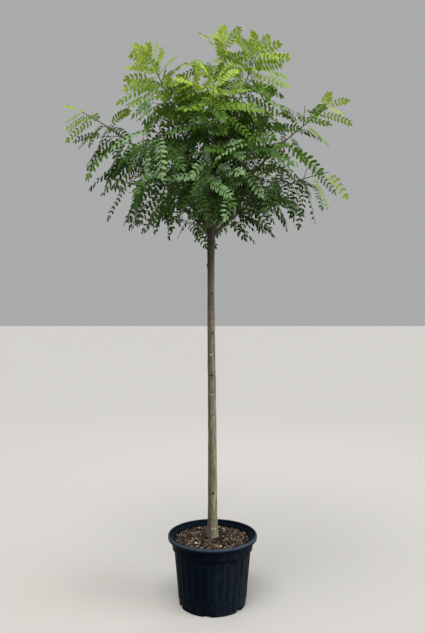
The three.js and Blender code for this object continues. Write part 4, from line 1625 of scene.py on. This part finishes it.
    def twigs(
        self, bough: Bough, course: Course, bare: float, leafy: float
    ) -> list[tuple[int, Course, float]]:
        """A shoot's side twigs, each turned further round until its ends are in the shoot's space.

        Args:
            bough: the shoot's bough.
            course: the shoot's course.
            bare: the share where its leafy part starts.
            leafy: that part's length.

        Returns:
            For each twig its number, its course and where on the leafy part it starts.
        """
        first, last = self.twig_along
        count = max(2, round(leafy * (last - first) / self.twig_pitch))
        spread, found = math.radians(self.twig_spread), []
        for number, start in enumerate(lerp(first, last, np.arange(count) / (count - 1))):
            share = np.array(bare + (1 - bare) * start)
            root, tangent = course.at(share), course.heading(share)
            turned = self.turn * number + 360 * chance(bough.key, np.arange(self.tries), 3 + 10 * number)
            out = self.outward(np.repeat(tangent[None], self.tries, axis=0), np.radians(turned))
            direction = tangent * math.cos(spread) + out * math.sin(spread)
            long = lerp(*self.twig_length, max(start, 0)) * between(*self.twig_vary, bough.key, number, 7)
            bend, tip = root + direction * long / 2 + UP * self.twig_rise, root + direction * long
            ends = np.stack([bend, tip], axis=1)
            fits = (self.within(ends) & self.owned(bough, ends)).all(axis=1)
            if fits.any():
                chosen = int(np.argmax(fits))
                found.append((number, Course(root, bend[chosen], tip[chosen]), float(start)))
        return found

    def leaflets(self, leaves: Sprays) -> Skin:
        """The leaflets of full-grown and of young leaves, each in its own form.

        Args:
            leaves: the leaves.

        Returns:
            The skin.
        """
        young = leaves.size < self.young_size
        forms = ((self.form, ~young), (self.young_form, young))
        return joined([form.leaflet_skin(leaves.pick(which)) for form, which in forms if which.any()])

    def build(self, tones: list[LeafTone], limb: Material) -> None:
        """Makes the twigs, the ribs and the leaflets of each tone.

        Args:
            tones: the leaf tones, from the deepest to the lightest, and then the one with a painted sky
                sheen.
            limb: the twigs' bark.
        """
        shoots = [self.shoot(bough) for bough in BOUGHS]
        leaves = Sprays.gather([sprays for sprays, _ in shoots])
        log.info("%d leaves", len(leaves.size))
        make_piece("side_twigs", joined([skin for _, skins in shoots for skin in skins]), [limb])
        masses = {slot: [] for slot in (Slot.DEEP, Slot.FRESH)}
        for bough in BOUGHS:
            masses[Slot.FRESH if bough.top > self.fresh_above else Slot.DEEP].append(f"foliage_{bough.name}")
        for i, tone in enumerate(tones):
            some, finishes = leaves.pick(leaves.tone == i), tone.make()
            slot = Slot.FRESH if self.young_from <= i <= len(self.tones) else Slot.DEEP
            round_about = np.argsort(np.arctan2(some.root[:, 1], some.root[:, 0]))
            parts = np.array_split(round_about, math.ceil(len(round_about) / self.most_leaves))
            for part, which in enumerate(parts, 1):
                skin = self.leaflets(some.pick(which))
                piece = make_piece(f"leaves_{tone.name}_{part}", skin, finishes, masses[slot])
                self.form.keep_edges_sharp(piece)
        young = (leaves.tone >= self.young_from) & (leaves.tone <= len(self.tones))
        ribs = (("dark", ~young, self.dark_rib, Slot.DEEP), ("light", young, self.light_rib, Slot.FRESH))
        for name, which, colour, slot in ribs:
            finish = Recipe(f"leaf_rib_{name}", colour, 0.55, 0.3).material
            make_piece(f"leaf_ribs_{name}", self.form.rib_skin(leaves.pick(which)), [finish])


# The studio


@dataclass
class Studio:
    """A plain pale floor, soft light, mostly from above and the right, and the camera of the photograph."""

    camera_place: Place = (0.0, -2.77, 1.283)
    lens: float = 35
    sensor: float = 36
    floor_size: float = 160
    floor_drop: float = 0.0005  # how far the floor lies under the pot
    floor_colour: Colour = (0.44, 0.43, 0.415)
    sky: Colour = (0.84, 0.845, 0.85)
    sky_strength: float = 0.48
    target: Place = (0, 0, 1.6)  # what the lights point at
    softness: float = 45  # how wide a sun is, in degrees
    lamp_size: float = 2.4
    # name, kind, place, power (of a lamp in watts, of a sun in watts to the square metre) and colour
    lights: tuple[tuple[str, str, Place, float, Colour], ...] = (
        ("overhead", "SUN", (-0.6, -2.5, 7.0), 3.0, (1.0, 0.985, 0.93)),
        ("side", "SUN", (4.0, -1.2, 2.6), 3.2, (0.98, 0.99, 1.0)),
        ("front", "AREA", (-2.2, -3.4, 2.9), 25, (1.0, 0.99, 0.97)),
        ("behind", "AREA", (0.8, 3.6, 3.4), 25, (1.0, 0.99, 0.97)),
    )

    @staticmethod
    def placed(
        name: str, data: bpy.types.ID, place: Place = (0, 0, 0), turn: Place = (0, 0, 0)
    ) -> bpy.types.Object:
        """Puts a mesh, a lamp or a camera into the scene.

        Args:
            name: its name.
            data: the mesh, lamp or camera.
            place: where it stands.
            turn: its turn about each axis.

        Returns:
            The object.
        """
        made = bpy.data.objects.new(name, data)
        made.location, made.rotation_euler = place, turn
        bpy.context.scene.collection.objects.link(made)
        return made

    def build(self) -> None:
        """Makes the floor, the lights and the camera."""
        half, scene = self.floor_size / 2, bpy.context.scene
        mesh = bpy.data.meshes.new("floor")
        corners = [(x * half, y * half, -self.floor_drop) for x, y in ((-1, -1), (1, -1), (1, 1), (-1, 1))]
        mesh.from_pydata(corners, [], [(0, 1, 2, 3)])
        mesh.materials.append(Recipe("pale_floor", self.floor_colour, 0.85, 0.2).material)
        self.placed("floor", mesh)
        scene.world = bpy.data.worlds.new("sky")
        scene.world.use_nodes = True
        background = scene.world.node_tree.nodes["Background"].inputs
        background["Color"].default_value = (*self.sky, 1)
        background["Strength"].default_value = self.sky_strength
        target = Vector(self.target)
        for name, kind, place, power, colour in self.lights:
            data = bpy.data.lights.new(name, kind)
            data.energy, data.color = power, colour
            if kind == "SUN":
                data.angle = math.radians(self.softness)
            else:
                data.size = self.lamp_size
            self.placed(name, data, place, (target - Vector(place)).to_track_quat("-Z", "Y").to_euler())
        camera = bpy.data.cameras.new("camera")
        camera.lens, camera.sensor_width, camera.sensor_fit = self.lens, self.sensor, "AUTO"
        camera.clip_end = 200
        scene.camera = self.placed("camera", camera, self.camera_place, (math.radians(90), 0, 0))
        scene.view_settings.view_transform = "Standard"


TONES = [
    LeafTone("shade", (0.018, 0.048, 0.004), (0.028, 0.064, 0.009)),
    LeafTone("deep", (0.040, 0.098, 0.009), (0.056, 0.118, 0.016)),
    LeafTone("full", (0.076, 0.160, 0.012), (0.100, 0.190, 0.020)),
    # the lighter tones' under sides are paler still, with painted light shining through
    LeafTone("light", (0.112, 0.210, 0.016), (0.165, 0.280, 0.028)),
    LeafTone("fresh", (0.170, 0.280, 0.026), (0.255, 0.385, 0.042)),
    LeafTone("new", (0.245, 0.350, 0.038), (0.350, 0.480, 0.065)),
    # a painted blue-green sheen of the sky, on leaves seen at a grazing angle
    LeafTone("bluish", (0.150, 0.255, 0.108), (0.155, 0.260, 0.112)),
]


def main() -> None:
    """Builds the plant from the pot up, then the studio."""
    logging.basicConfig(level=logging.INFO, format="%(name)s: %(message)s")
    NurseryPot().build(MouldedPlastic())
    PottingSoil().build(PottingMix())
    trunk = Trunk()
    trunk.build(StemBark())
    limb = LimbBark().make()
    boughs = Boughs(trunk)
    boughs.build(limb)
    Crown(boughs).build(TONES, limb)
    Studio().build()
    bpy.context.view_layer.update()


if __name__ == "__main__":
    main()
